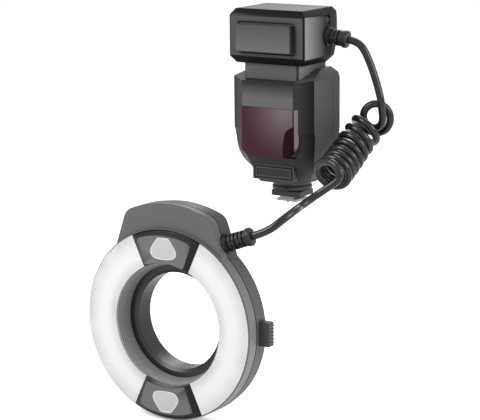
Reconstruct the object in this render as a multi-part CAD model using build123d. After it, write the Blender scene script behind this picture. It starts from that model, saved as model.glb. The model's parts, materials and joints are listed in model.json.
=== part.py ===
"""Macro ring flash: a shoe-mounted control unit, a curly cord and a ring head for the lens.

Millimetres, +Z up, the object's front faces -Y. The origin is the centre of the bottom face of
the shoe foot. The ring head's axis runs along Y, below and in front of the control unit.
"""
from build123d import *
from math import cos, sin, tan, pi, radians, hypot, sqrt
import os

# Clearances that several pieces share
overrun = 4.0
running_gap = 0.3
shaft_gap = 0.08
wall = 2.0
panel_wall = 1.6

# Control unit body
body_half_width = 37.0
body_column_half_width = 23.5
body_front_y = -36.9
body_cheek_y = -27.2
body_rear_y = 18.0
body_rear_corner = 6.0
body_seam_y = 1.7
body_skirt_y = -18.4
body_skirt_z = 50.0
body_skirt_corner = 4.0
body_taper_top_z = 60.0
body_top_z = 108.0
body_top_half_width = 28.8
body_shoulder_z = 100.5
body_top_front_z = 100.1
body_top_rise_y = -4.0
body_bottom_z = 16.5
body_edge_round = 1.2
# Taper of the lower body: height, then the half width, cheek, column and front as shares
taper_height_shares = (1.0, 0.644, 0.46, 0.322, 0.172, 0.0)
taper_width_shares = (1.0, 0.96, 0.91, 0.84, 0.72, 0.56)
taper_cheek_shares = (1.0, 0.90, 0.80, 0.65, 0.44, 0.26)
taper_column_shares = (1.0, 0.98, 0.94, 0.90, 0.83, 0.72)
taper_front_shares = (1.0, 0.92, 0.83, 0.73, 0.66, 0.55)
taper_rear_shares = (1.0, 1.0, 1.0, 0.99, 0.97, 0.94)

# Front panel and red window
panel_bottom_z = 78.9
window_bottom_z = 39.5
window_wrap = 3.2
window_corner_x = 14.0
window_corner_z = 5.5
window_gap = 0.15
lamp_block_half_width = 15.0
lamp_block_bottom_z = 46.0
lamp_block_top_z = 66.0
lamp_block_depth = 5.0
lamp_lens_radius = 5.0
lamp_lens_height = 1.0
lamp_lens_pitch = 14.0

# Lower front cover
cover_half_width = 19.0
cover_bottom_z = 19.9
cover_top_z = 32.7
cover_front_y = -28.6
cover_back_y = -20.0
cover_rim = 1.6
cover_groove = 0.8
cover_groove_depth = 0.7
cover_inset_depth = 0.6
cover_corner = 1.2

# Neck
neck_half_width = 24.8
neck_front_y = -31.2
neck_rear_y = 12.0
neck_bottom_z = 98.0
neck_corner = 2.0

# Head of the control unit
head_lift = 4.6
head_height = 42.9
head_half_width = 35.0
head_face_half_width = 34.0
head_rear_half_width = 33.0
head_front_y = -37.9
head_rear_y = 14.5
head_seam_y = -0.2
head_bottom_z = body_top_z + head_lift
head_top_z = head_bottom_z + head_height
head_top_half_width = 30.1
head_bottom_half_width = 30.0
head_top_edge_y = -34.4
head_bottom_edge_y = -33.7
head_top_band = 5.7
head_band_top_z = head_top_z - head_top_band
head_bottom_band = 6.1
head_band_bottom_z = head_bottom_z + head_bottom_band
head_barrel_top = 8.5
head_barrel_top_z = head_top_z - head_barrel_top
head_barrel_low = 11.4
head_barrel_low_z = head_bottom_z + head_barrel_low
head_barrel_foot_y = 2.0
head_corner = 3.0
head_block_half_width = 25.3
head_block_low = 10.0
head_block_bottom_z = head_bottom_z + head_block_low
head_block_drop = 11.2
head_block_top_z = head_top_z - head_block_drop
head_block_front_y = -43.4
head_block_corner = 1.5
head_block_edge = 0.6
head_groove = 1.3
head_groove_depth = 1.0
head_screw_drop = 9.2
head_screw_z = head_top_z - head_screw_drop
head_screw_y = -2.6
head_screw_recess_radius = 2.8
head_screw_recess_depth = 1.2
head_screw_radius = 2.3
head_screw_length = 5.0
head_screw_slot = 0.8
head_screw_slot_share = 0.7

# Cord and its strain reliefs
cord_diameter = 6.0
relief_radius = 6.4
relief_root_radius = 7.4
relief_root_length = 2.0
relief_neck_radius = 4.7
relief_collar_radius = 6.9
relief_collar_length = 4.2
relief_slot_width = 1.5
relief_slot_pitch = 3.1
relief_slot_rib = 2.2
relief_taper_share = 0.96
relief_spigot_radius = 5.2
relief_spigot_length = 3.0
head_relief_length = 17.5
head_relief_y = -3.5
head_relief_rise = 21.4
head_relief_z = head_bottom_z + head_relief_rise
head_relief_direction = (0.966, 0.211, -0.151)
ring_relief_length = 22.0
ring_relief_direction = (0.926, 0.199, 0.321)

# Ring head
ring_axis_z = -64.6
ring_radius = 72.3
ring_bore_front_radius = 46.0
ring_bore_rear_radius = 43.0
ring_front_y = -176.9
ring_front_depth = 10.3
ring_rear_depth = 13.7
ring_seam_y = ring_front_y + ring_front_depth
ring_rear_y = ring_seam_y + ring_rear_depth
ring_wall = 2.2
ring_lip = 1.1
ring_face_thickness = 2.5
ring_side_step = 0.6
crest_set_back = 3.4
crest_front_y = ring_front_y + crest_set_back
crest_rise = 18.2
crest_radius = ring_radius + crest_rise
crest_half_width = 38.5
crest_foot_half_width = 48.5
crest_foot_rise = 52.6
crest_foot_z = ring_axis_z + crest_foot_rise
crest_corner = 11.0
crest_rear_inset = 1.0
ring_relief_x = 44.0
ring_relief_step = 3.0
ring_relief_y = ring_seam_y + ring_relief_step
ring_relief_rise = 63.8
ring_relief_z = ring_axis_z + ring_relief_rise

# Ring circuit board
ring_board_step = 1.6
ring_board_edge = 2.1
ring_board_hole_edge = 0.5
ring_board_thickness = 1.6
ring_board_y = ring_seam_y + ring_board_step
ring_board_rear_y = ring_board_y + ring_board_thickness
sleeve_wall = 1.4
sleeve_ribs = 14
sleeve_rib_height = 0.25
sleeve_flange = 1.3
ring_board_outer_radius = ring_radius - ring_wall - ring_board_edge
ring_board_inner_radius = ring_bore_front_radius + sleeve_wall + ring_board_hole_edge
sleeve_flange_radius = ring_board_inner_radius + sleeve_flange

# White diffusers, reflectors and flash tubes
diffuser_edge = 0.2
diffuser_outer_radius = ring_radius - ring_lip
diffuser_inner_radius = ring_bore_front_radius + diffuser_edge
diffuser_half_angle = 65.0
diffuser_gap_angle = 0.15
reflector_half_angle = 60.0
reflector_end_angle = 1.0
reflector_outer_edge = 2.2
reflector_inner_edge = 3.3
reflector_outer_radius = diffuser_outer_radius - reflector_outer_edge
reflector_inner_radius = diffuser_inner_radius + reflector_inner_edge
reflector_wall = 0.8
tube_radius = 1.8
tube_half_angle = 62.7
tube_stand = 6.0
tube_circle_radius = (reflector_inner_radius + reflector_outer_radius) / 2
tube_y = ring_board_y - tube_stand
tube_socket_length = 5.0
tube_socket_radius = 2.7

# Lamp plates with their lenses
plate_half_angle = 24.7
plate_rise = 2.7
plate_chamfer = 2.3
lens_wide_half = 11.6
lens_narrow_half = 5.6
lens_foot_share = 0.6
lens_inner_edge = 6.4
lens_outer_edge = 2.6
lens_inner_radius = diffuser_inner_radius + lens_inner_edge
lens_outer_radius = diffuser_outer_radius - lens_outer_edge
lens_corner = 3.4
lens_rise = 0.8
lens_seat = 3.0
led_radius = 2.5
led_height = 4.0
led_circle_radius = (lens_inner_radius + lens_outer_radius) / 2
led_stem_radius = 1.5
plate_boss_radius = 3.0
ring_screw_radius = 1.2
ring_screw_head_radius = 2.2
ring_screw_head = 1.4
ring_screw_length = 17.0
ring_screw_edge = 12.5
ring_screw_circle = ring_bore_front_radius + ring_screw_edge
ring_screw_angles = (76.0, 104.0, 256.0, 284.0)

# Release tabs and the adapter ring
tab_travel = 2.0
tab_slot_gap = 0.35
tab_plate_gap = 0.4
tab_plate_thickness = 1.5
tab_plate_width = 4.3
tab_stand = 2.5
tab_right_y = ring_board_rear_y + tab_stand
tab_left_y = tab_right_y + tab_plate_thickness + tab_plate_gap
adapter_flange_step = 0.8
adapter_groove_depth = 2.2
adapter_flange_radius = ring_bore_rear_radius + adapter_flange_step
adapter_groove_radius = adapter_flange_radius - adapter_groove_depth
tab_plate_inner_radius = adapter_flange_radius + tab_travel + tab_plate_gap
tab_plate_outer_radius = tab_plate_inner_radius + tab_plate_width
tab_claw_gap = 1.0
tab_claw_radius = adapter_groove_radius + tab_claw_gap
tab_claw_half_height = 6.0
tab_arm_half_height = 7.5
tab_pad_half_height = 9.0
tab_pad_root = 2.7
tab_pad_reach = 8.4
tab_pad_start_x = ring_radius - tab_pad_root
tab_pad_end_x = ring_radius + tab_pad_reach
tab_pad_lip = 0.7
tab_pad_front_y = ring_board_rear_y + running_gap
tab_pad_rear_y = tab_left_y + tab_plate_thickness + tab_pad_lip
tab_pad_corner = 1.0
tab_serrations = 7
tab_serration_depth = 0.6
adapter_stand_out = 0.9
adapter_front_y = ring_board_rear_y + running_gap
adapter_groove_front_y = tab_right_y - tab_plate_gap
adapter_groove_rear_y = tab_left_y + tab_plate_thickness + tab_plate_gap
adapter_rear_y = ring_rear_y + adapter_stand_out
adapter_hole_radius = 36.7
adapter_thread_radius = 38.5
adapter_thread_length = 5.5
adapter_thread_pitch = 0.75
adapter_thread_crest = 0.45
adapter_thread_relief = 0.4
adapter_hole_step = 2.4

# Shoe foot, lock wheel, lock plate and pins
foot_plate_half_width = 9.3
foot_plate_half_length = 9.0
foot_plate_thickness = 2.0
foot_corner = 0.8
foot_neck_half_width = 6.2
foot_neck_half_length = 8.2
foot_column_radius = 5.6
lock_plate_half_width = 13.5
lock_plate_half_length = 12.0
lock_plate_bottom_z = 4.4
lock_plate_top_z = 8.6
lock_plate_corner = 2.0
lock_travel = 0.8
lock_wheel_radius = 16.0
lock_wheel_bottom_z = 9.8
lock_wheel_top_z = 12.6
lock_wheel_teeth = 48
lock_wheel_tooth = 0.5
pedestal_top_radius = 16.6
pedestal_bottom_radius = 15.0
pedestal_bottom_z = 12.9
lock_pin_radius = 0.9
lock_pin_y = -6.6
lock_pin_reach = 1.4
lock_pin_top_z = lock_plate_bottom_z + lock_travel - lock_pin_reach - running_gap
contact_radius = 0.75
contact_reach = 0.5
contact_top_z = 3.2
contact_places = ((0.0, 0.0), (-4.2, 3.4), (4.2, 3.4), (-4.2, -1.6), (4.2, -1.6))

# Main board
board_depth = 5.6
board_y = body_rear_y - board_depth
board_thickness = 1.4
board_side_gap = 10.0
board_half_width = body_half_width - board_side_gap
board_bottom_z = 40.0
board_top_z = 96.0
board_edge = 3.0
board_post_radius = 2.0
board_post_low = 12.0
board_post_x = board_half_width - board_post_radius
board_post_places_z = (board_bottom_z + board_post_low, board_top_z - board_edge)

# Batteries, their bay and the door
door_thickness = 2.2
door_to_cells = 5.3
cell_radius = 7.25
cell_length = 49.2
cell_tip_radius = 2.75
cell_tip_length = 1.3
cell_gap = 0.4
cell_to_board = 3.75
cell_start_x = -body_half_width + door_thickness + door_to_cells
cell_low_z = 47.0
cell_high_z = cell_low_z + 2 * cell_radius + cell_gap
cell_front_y = board_y - cell_to_board - 3 * cell_radius - cell_gap
bay_wall = 1.2
bay_gap = 0.4
contact_plate_thickness = 0.5
contact_spring_length = 1.8
contact_spring_radius = 3.0
door_front_reach = 6.5
door_rear_reach = 6.5
door_low_reach = 8.5
door_high_reach = 9.6
door_front_y = cell_front_y - door_front_reach
door_rear_y = body_rear_y - door_rear_reach
door_bottom_z = cell_low_z - door_low_reach
door_top_z = cell_high_z + door_high_reach
door_corner = 2.0
door_gap = 0.3
door_pin_radius = 0.8
door_pin_inset = 2.0
door_knuckle_radius = 1.9
door_knuckle_share = 0.22
door_grip_ribs = 5
door_grip_rib = 0.8
door_grip_height = 0.5
door_grip_length = 4.0

# Rear controls
display_half_width = board_half_width - board_edge
display_bottom_z = 70.0
display_top_z = 97.0
display_window_thickness = 1.2
display_module_thickness = 3.0
display_corner = 2.0
button_row_z = 62.5
button_count = 4
button_pitch = 13.0
button_half_width = 4.6
button_half_height = 2.3
button_corner_share = 0.8
hole_corner_share = 0.9
button_proud = 0.9
button_travel = 0.5
button_flange = 1.0
button_flange_thickness = 0.8
dial_z = 43.0
dial_outer_radius = 12.5
dial_inner_radius = 6.4
dial_proud = 1.4
dial_ribs = 36
dial_rib_depth = 0.35
set_radius = 5.9
set_proud = 1.0
set_stem_radius = 2.0
test_button_x = board_half_width - board_edge
test_button_z = 43.0
test_button_radius = 3.2
switch_x = -test_button_x
switch_z = 43.0
switch_travel = 5.0
switch_half_width = 3.0
switch_half_height = 2.4
switch_proud = 1.2
switch_slot_half_width = 1.4

# Parts inside
capacitor_radius = 8.5
capacitor_length = 34.0
capacitor_z = 87.0
capacitor_y = -14.0
transformer_half = 8.0
cradle_x = 12.0
cradle_thickness = 2.0
cradle_half_height = 6.0

# Curly cord: turn, centre, direction of the axis and radius of the turn
coil_turns = 9.1
coil_steps = 4
coil_turn_step = 0.001
coil_samples = 900
coil_skip_share = 3.5
free_arc_share = 0.45
coil_across = (0.70, 0.25, -0.66)
coil_stations = (
    (0.0, (63.0, -58.0, 37.0), (-0.05, 0.90, 0.42), 12.4),
    (0.25, (61.4, -47.5, 33.6), (-0.05, 0.90, 0.42), 12.4),
    (0.5, (60.6, -41.2, 32.2), (-0.05, 0.90, 0.42), 12.4),
    (1.5, (59.2, -32.0, 34.2), (-0.05, 0.90, 0.42), 12.2),
    (3.5, (58.4, -17.4, 40.5), (0.05, 0.85, 0.52), 12.0),
    (5.5, (59.5, -4.0, 50.0), (0.20, 0.77, 0.60), 12.0),
    (7.0, (62.2, 6.0, 59.0), (0.30, 0.66, 0.69), 12.0),
    (7.75, (65.0, 12.0, 64.2), (0.10, 0.70, 0.70), 12.4),
    (8.25, (68.2, 17.0, 69.6), (-0.35, 0.85, 0.35), 11.4),
    (8.75, (69.0, 12.5, 72.0), (-0.45, 0.85, 0.20), 10.4),
    (9.1, (67.5, 3.5, 72.2), (-0.45, 0.80, 0.10), 11.4),
)

# Routes of the two free stretches between their straight ends
upper_lead = 7.0
upper_tail = 10.0
upper_route = ((64.6, 3.0, 123.6), (70.2, 4.2, 110.5), (74.6, 5.0, 97.5))
lower_lead = 11.4
lower_tail = 12.4
lower_route = (
    (53.1, -67.9, 13.6),
    (52.0, -78.3, 10.5),
    (55.3, -89.2, 10.6),
    (67.4, -104.9, 16.1),
    (82.9, -123.6, 23.5),
    (86.8, -137.1, 23.5),
    (83.9, -149.6, 18.6),
)


# Plain helpers


def block(x0, x1, y0, y1, z0, z1):
    """A box between two corners."""
    centre = Pos((x0 + x1) / 2, (y0 + y1) / 2, (z0 + z1) / 2)
    return centre * Box(x1 - x0, y1 - y0, z1 - z0)


def rod_x(radius, x0, x1, y=0.0, z=0.0):
    """A round bar along X."""
    return Pos((x0 + x1) / 2, y, z) * Rot(0, 90, 0) * Cylinder(radius, x1 - x0)


def rod_y(radius, y0, y1, x=0.0, z=0.0):
    """A round bar along Y."""
    return Pos(x, (y0 + y1) / 2, z) * Rot(90, 0, 0) * Cylinder(radius, y1 - y0)


def rod_z(radius, z0, z1, x=0.0, y=0.0):
    """A round bar along Z."""
    return Pos(x, y, (z0 + z1) / 2) * Cylinder(radius, z1 - z0)


def polygon(points, corner=0.0):
    """A flat face from its corners, with equal rounds."""
    face = make_face(Polyline(*points, close=True))
    if corner > 0:
        face = fillet(face.vertices(), corner)
    return face


def front_prism(face, y0, y1):
    """Extrude an outline drawn as seen from the front (x, z) from y0 back to y1."""
    solid = extrude(Plane.XZ * face, amount=y1 - y0)
    return Pos(0, y1, 0) * solid


def side_prism(face, half_width):
    """Extrude an outline drawn as seen from the side (y, z) to both sides."""
    return extrude(Plane.YZ * face, amount=half_width, both=True)


def plate_front(half_width, z0, z1, y0, y1, corner, x=0.0):
    """A plate facing the front, with round corners."""
    face = Pos(x, (z0 + z1) / 2) * RectangleRounded(2 * half_width, z1 - z0, corner)
    return front_prism(face, y0, y1)


def turned(points, start=0.0, sweep_angle=360.0):
    """Turn an outline of (radius, y) about the ring head's axis, from start towards +Z."""
    face = make_face(Polyline(*points, close=True))
    axis = Axis((0, 0, 0), (0, -1, 0))
    return Pos(0, 0, ring_axis_z) * Rot(0, -start, 0) * revolve(face, axis, sweep_angle)


def tube_turned(inner, outer, y0, y1, start=0.0, sweep_angle=360.0):
    """A plain ring, or part of one, about the ring head's axis."""
    return turned(((inner, y0), (outer, y0), (outer, y1), (inner, y1)), start, sweep_angle)


def largest(shape):
    """The largest solid of a shape."""
    return max(shape.solids(), key=lambda solid: solid.volume)


parts = {}


def keep(name, shape):
    """Store a finished piece under its node's name."""
    parts[name] = shape


# Control unit body


def taper_section(share_index, inset):
    """One level of the lower body: its outline, drawn in by the wall where asked."""
    i = share_index
    half = body_half_width * taper_width_shares[i] - inset
    cheek = body_cheek_y * taper_cheek_shares[i] + inset
    column = body_column_half_width * taper_column_shares[i] - inset / 2
    front = body_front_y * taper_front_shares[i] + inset
    rear = body_rear_y * taper_rear_shares[i] - inset
    corner = body_rear_corner - inset / 2
    points = (
        (-half, cheek),
        (-column, front),
        (column, front),
        (half, cheek),
        (half, rear - corner),
        (half - corner, rear),
        (-half + corner, rear),
        (-half, rear - corner),
    )
    z = body_bottom_z + taper_height_shares[i] * (body_taper_top_z - body_bottom_z)
    if i == len(taper_height_shares) - 1:
        z = z + inset
    return Pos(0, 0, z) * make_face(Polyline(*points, close=True))


def body_form(inset=0.0):
    """The closed outer form of the body, or the same form drawn in by a wall."""
    upper = extrude(taper_section(0, inset), amount=body_top_z - body_taper_top_z)
    lower = loft([taper_section(i, inset) for i in range(len(taper_height_shares))])
    top = body_top_z - inset
    half = body_half_width - inset + overrun
    shoulder = polygon(
        (
            (-half, body_taper_top_z - overrun),
            (half, body_taper_top_z - overrun),
            (half, body_shoulder_z - inset),
            (body_half_width - inset, body_shoulder_z - inset),
            (body_top_half_width - inset / 2, top),
            (-body_top_half_width + inset / 2, top),
            (-body_half_width + inset, body_shoulder_z - inset),
            (-half, body_shoulder_z - inset),
        )
    )
    front = body_front_y - overrun
    rear = body_rear_y - inset
    roof = polygon(
        (
            (front, body_taper_top_z - overrun),
            (rear + overrun, body_taper_top_z - overrun),
            (rear + overrun, body_shoulder_z - inset),
            (rear, body_shoulder_z - inset),
            (rear - body_rear_corner, top),
            (body_top_rise_y, top - body_edge_round / 2),
            (body_front_y + overrun, body_top_front_z - inset),
            (front, body_top_front_z - body_edge_round - inset),
        )
    )
    upper = upper & front_prism(shoulder, front, body_rear_y + overrun) & side_prism(roof, half)
    column = window_column(inset)
    return upper + lower + column


def window_outline(grow=0.0):
    """The front column's outline below the panel: straight sides and cut lower corners."""
    half = body_column_half_width + grow
    bottom = window_bottom_z - grow
    return polygon(
        (
            (-half, body_taper_top_z + overrun),
            (-half, bottom + window_corner_z),
            (-window_corner_x, bottom),
            (window_corner_x, bottom),
            (half, bottom + window_corner_z),
            (half, body_taper_top_z + overrun),
        )
    )


def window_column(inset):
    """The column behind the red window, which keeps its front while the cheeks draw in."""
    back = body_cheek_y + overrun
    return front_prism(window_outline(-inset), body_front_y + inset, back)


def front_band(grow, z0, z1):
    """The part of the body's skin that the panel and the window cover."""
    half = body_column_half_width + window_wrap + grow
    return block(-half, half, body_front_y - overrun, body_cheek_y - window_wrap, z0, z1)


def seam_block(offset=0.0):
    """All that belongs to the rear shell: behind the seam, and the skirt below its jog."""
    far = body_half_width + 3 * overrun
    rear = body_rear_y + overrun
    corner = body_skirt_corner
    side = polygon(
        (
            (body_skirt_y + offset, body_bottom_z - overrun),
            (body_skirt_y + offset, body_skirt_z - corner - offset),
            (body_skirt_y + corner + offset, body_skirt_z - offset),
            (body_seam_y + offset, body_skirt_z - offset),
            (body_seam_y + offset, body_top_z + overrun),
            (rear, body_top_z + overrun),
            (rear, body_bottom_z - overrun),
        )
    )
    return side_prism(side, far)


def door_prism(grow, x0, x1):
    """The battery door's outline as a prism along X."""
    face = Pos((door_front_y + door_rear_y) / 2, (door_bottom_z + door_top_z) / 2) * RectangleRounded(
        door_rear_y - door_front_y + 2 * grow, door_top_z - door_bottom_z + 2 * grow, door_corner + grow
    )
    solid = extrude(Plane.YZ * face, amount=x1 - x0)
    return Pos(x0, 0, 0) * solid


def bay_block(grow=0.0):
    """The space that the four cells fill, open to the door."""
    reach = cell_radius + bay_gap + grow
    rear_y = cell_front_y + 2 * cell_radius + cell_gap
    high_z = cell_low_z + 2 * cell_radius + cell_gap
    end = cell_start_x + cell_length + cell_tip_length + contact_spring_length + grow
    return block(-body_half_width - overrun, end, cell_front_y - reach, rear_y + reach,
                 cell_low_z - reach, high_z + reach)


def neck_block_form(grow=0.0):
    """The neck between the body and its head."""
    y0 = neck_front_y - grow
    y1 = neck_rear_y + grow
    half = neck_half_width + grow
    face = Pos(0, (y0 + y1) / 2) * RectangleRounded(2 * half, y1 - y0, neck_corner)
    return Pos(0, 0, neck_bottom_z - grow) * extrude(face, amount=head_bottom_z - neck_bottom_z + grow)


def build_body():
    """Both shells, the front panel, the red window and the lower cover."""
    outer = body_form()
    inner = body_form(wall)
    skin = outer - body_form(panel_wall + window_gap)
    window_zone = front_band(0.0, window_bottom_z - overrun, panel_bottom_z - window_gap)
    panel_zone = front_band(-window_wrap, panel_bottom_z, body_top_front_z + overrun)
    outline = window_outline(window_wrap) + Pos(0, (panel_bottom_z + body_taper_top_z) / 2) * Rectangle(
        2 * (body_column_half_width + window_wrap), panel_bottom_z - body_taper_top_z
    )
    shaped = front_prism(outline, body_front_y - overrun, body_cheek_y)
    column_face = outer - body_form(panel_wall)
    window = largest((column_face & window_zone) & shaped)
    window = largest(window & block(-body_half_width, body_half_width, body_front_y - overrun, body_cheek_y
                                    - window_wrap, window_bottom_z, panel_bottom_z))
    panel = largest((column_face & panel_zone) - neck_block_form())
    pocket = (skin & front_band(window_gap, window_bottom_z - window_gap, panel_bottom_z)) + (
        skin & front_band(window_gap - window_wrap, panel_bottom_z - window_gap, body_top_z)
    )
    sensor_bay = block(-lamp_block_half_width + wall, lamp_block_half_width - wall,
                       body_front_y, body_cheek_y, lamp_block_bottom_z + wall, lamp_block_top_z - wall)
    cover_pocket = block(-cover_half_width - running_gap / 2, cover_half_width + running_gap / 2,
                         cover_front_y, cover_back_y, cover_bottom_z - running_gap / 2,
                         cover_top_z + running_gap / 2)
    shell = outer - inner
    backing = body_form(panel_wall + window_gap) - body_form(panel_wall + window_gap + wall)
    shell = shell + (backing & front_band(window_gap, window_bottom_z - wall, body_top_front_z))
    cover_wall = block(-cover_half_width - wall, cover_half_width + wall, cover_front_y, cover_back_y + wall,
                       cover_bottom_z - wall, cover_top_z + wall)
    shell = shell + (outer & (cover_wall - cover_pocket))
    shell = shell + (outer & (bay_block(bay_wall) - bay_block()))
    shell = shell - bay_block()
    shell = shell - pocket - sensor_bay - neck_block_form()
    door_hole = door_prism(door_gap, -body_half_width - overrun, -body_half_width + door_thickness + door_gap)
    shell = shell - door_hole - cover_pocket
    shell = shell + (outer & cradles())
    shell = hinge_in_shell(shell)
    keep("af_window", window)
    keep("front_panel", panel)
    return shell, seam_block()


def cradles():
    """Two ribs inside the front shell that carry the flash capacitor."""
    ribs = None
    for side in (-1, 1):
        middle = side * cradle_x
        rib = block(middle - cradle_thickness / 2, middle + cradle_thickness / 2, body_front_y + wall,
                    capacitor_y, capacitor_z - cradle_half_height, capacitor_z + cradle_half_height)
        ribs = rib if ribs is None else ribs + rib
    return ribs - capacitor()


def hinge_place():
    """Where the battery door's hinge axis stands."""
    return -body_half_width + door_knuckle_radius, door_rear_y - door_pin_inset


def hinge_in_shell(shell):
    """Room for the door's knuckle, and the shell's own knuckles above and below it."""
    x, y = hinge_place()
    reach = door_knuckle_share * (door_top_z - door_bottom_z)
    low = door_bottom_z + reach
    high = door_top_z - reach
    shell = shell - block(-body_half_width - overrun, x, y, door_rear_y + door_gap,
                          door_bottom_z - door_gap, door_top_z + door_gap)
    shell = shell - rod_z(door_knuckle_radius + door_gap, low, high, x, y)
    shell = shell + rod_z(door_knuckle_radius, door_bottom_z - wall, low, x, y)
    shell = shell + rod_z(door_knuckle_radius, high, door_top_z + wall, x, y)
    return shell - rod_z(door_pin_radius + shaft_gap, door_bottom_z, door_top_z, x, y)


def build_lower_cover():
    """The framed cover on the lower front of the body."""
    half = cover_half_width
    cover = plate_front(half, cover_bottom_z, cover_top_z, cover_front_y, cover_back_y, cover_corner)
    groove_out = half - cover_rim
    groove_in = groove_out - cover_groove
    z0 = cover_bottom_z + cover_rim
    z1 = cover_top_z - cover_rim
    floor = cover_front_y + cover_groove_depth
    ring = plate_front(groove_out, z0, z1, cover_front_y - overrun, floor, cover_corner / 2)
    island = plate_front(groove_in, z0 + cover_groove, z1 - cover_groove,
                         cover_front_y - overrun, floor, cover_corner / 2)
    inset = plate_front(groove_in - cover_rim, z0 + cover_groove + cover_rim, z1 - cover_groove - cover_rim,
                        cover_front_y - overrun, cover_front_y + cover_inset_depth, cover_corner / 3)
    keep("lower_front_cover", cover - (ring - island) - inset)


# Head of the control unit


def head_form(inset=0.0):
    """The head: chamfered front, bulged sides and a barrel-shaped rear."""
    face = head_front_y + inset
    rear = head_rear_y - inset
    side = head_half_width - inset
    plan = polygon(
        (
            (-head_face_half_width + inset, face),
            (head_face_half_width - inset, face),
            (side, head_seam_y - head_barrel_foot_y * wall),
            (side, head_seam_y + head_barrel_foot_y * wall),
            (head_rear_half_width - inset, rear),
            (-head_rear_half_width + inset, rear),
            (-side, head_seam_y + head_barrel_foot_y * wall),
            (-side, head_seam_y - head_barrel_foot_y * wall),
        )
    )
    plan = Pos(0, 0, head_bottom_z - overrun) * plan
    column = extrude(plan, amount=head_top_z - head_bottom_z + 2 * overrun)
    top = head_top_z - inset
    bottom = head_bottom_z + inset
    front = polygon(
        (
            (-side, head_band_bottom_z),
            (-head_bottom_half_width + inset / 2, bottom),
            (head_bottom_half_width - inset / 2, bottom),
            (side, head_band_bottom_z),
            (side, head_band_top_z),
            (head_top_half_width - inset / 2, top),
            (-head_top_half_width + inset / 2, top),
            (-side, head_band_top_z),
        )
    )
    profile = [
        Line((face, head_band_bottom_z), (face, head_band_top_z)),
        Line((face, head_band_top_z), (head_top_edge_y + inset / 2, top)),
        Line((head_top_edge_y + inset / 2, top), (rear - head_corner, top)),
        ThreePointArc(
            (rear - head_corner, top),
            (rear, (head_barrel_top_z + head_barrel_low_z) / 2),
            (head_barrel_foot_y, bottom),
        ),
        Line((head_barrel_foot_y, bottom), (head_bottom_edge_y + inset / 2, bottom)),
        Line((head_bottom_edge_y + inset / 2, bottom), (face, head_band_bottom_z)),
    ]
    side_face = make_face(Wire(edges=[edge for line in profile for edge in line.edges()]))
    return column & front_prism(front, face - overrun, rear + overrun) & side_prism(side_face, side + overrun)


def build_neck():
    """The neck, seated in the body's top and under the head."""
    keep("neck_block", neck_block_form())


def build_head():
    """Two head shells, the raised blank block and the side screws."""
    outer = head_form()
    shell = outer - head_form(wall)
    zone = block(-2 * head_half_width, 2 * head_half_width, head_seam_y, 2 * head_half_width,
                 head_bottom_z - overrun, head_top_z + overrun)
    rim_half = head_block_half_width + head_groove
    rim = plate_front(rim_half, head_block_bottom_z - head_groove, head_block_top_z + head_groove,
                      head_front_y - overrun, head_front_y + head_groove_depth,
                      head_block_corner + head_groove)
    panel = plate_front(head_block_half_width, head_block_bottom_z, head_block_top_z,
                        head_block_front_y, head_front_y + head_groove_depth, head_block_corner)
    front_edges = panel.faces().sort_by(Axis.Y)[0].edges()
    keep("head_front_panel", chamfer(front_edges, head_block_edge))
    recess_start = head_half_width - head_screw_recess_depth
    recess = rod_x(head_screw_recess_radius, recess_start, head_half_width + overrun,
                   head_screw_y, head_screw_z)
    post = rod_x(head_screw_recess_radius + panel_wall, recess_start - head_screw_length, head_half_width,
                 head_screw_y, head_screw_z) & outer
    hole = rod_x(head_screw_radius / 2 + shaft_gap, recess_start - head_screw_length - overrun,
                 head_half_width, head_screw_y, head_screw_z)
    both = [Rot(0, 0, 0), Pos(0, 2 * head_screw_y, 0) * Rot(0, 0, 180)]
    screws = []
    for place in both:
        shell = (shell + place * post) - place * recess - place * hole
        screw = rod_x(head_screw_radius, recess_start, recess_start + head_screw_recess_depth / 2,
                      head_screw_y, head_screw_z)
        screw = screw + rod_x(head_screw_radius / 2, recess_start - head_screw_length + wall / 2,
                              recess_start, head_screw_y, head_screw_z)
        reach = head_screw_radius * head_screw_slot_share
        for angle in (0, 90):
            slot = block(recess_start + head_screw_recess_depth / 4, head_half_width, -reach, reach,
                         -head_screw_slot / 2, head_screw_slot / 2)
            screw = screw - Pos(0, head_screw_y, head_screw_z) * Rot(angle, 0, 0) * slot
        screws.append(place * screw)
    keep("head_side_screws", Compound(children=screws))
    shell = shell - rim - relief_hole(head_half_width, head_relief_y, head_relief_z, head_relief_direction)
    keep("head_front_shell", largest(shell - zone))
    keep("head_rear_shell", largest(shell & zone))


# Strain reliefs


def relief_plane(x, y, z, direction):
    """The plane at a strain relief's root, square to the way it points."""
    return Plane(origin=(x, y, z), x_dir=(0, 0, 1), z_dir=direction)


def relief_hole(x, y, z, direction):
    """The hole in a shell for a strain relief's spigot, with the seat for its root."""
    hole = Cylinder(relief_spigot_radius + shaft_gap, 2 * relief_spigot_length + 2 * overrun)
    hole = hole + rod_z(relief_root_radius, 0, relief_root_length + overrun)
    return relief_plane(x, y, z, direction) * hole


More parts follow.
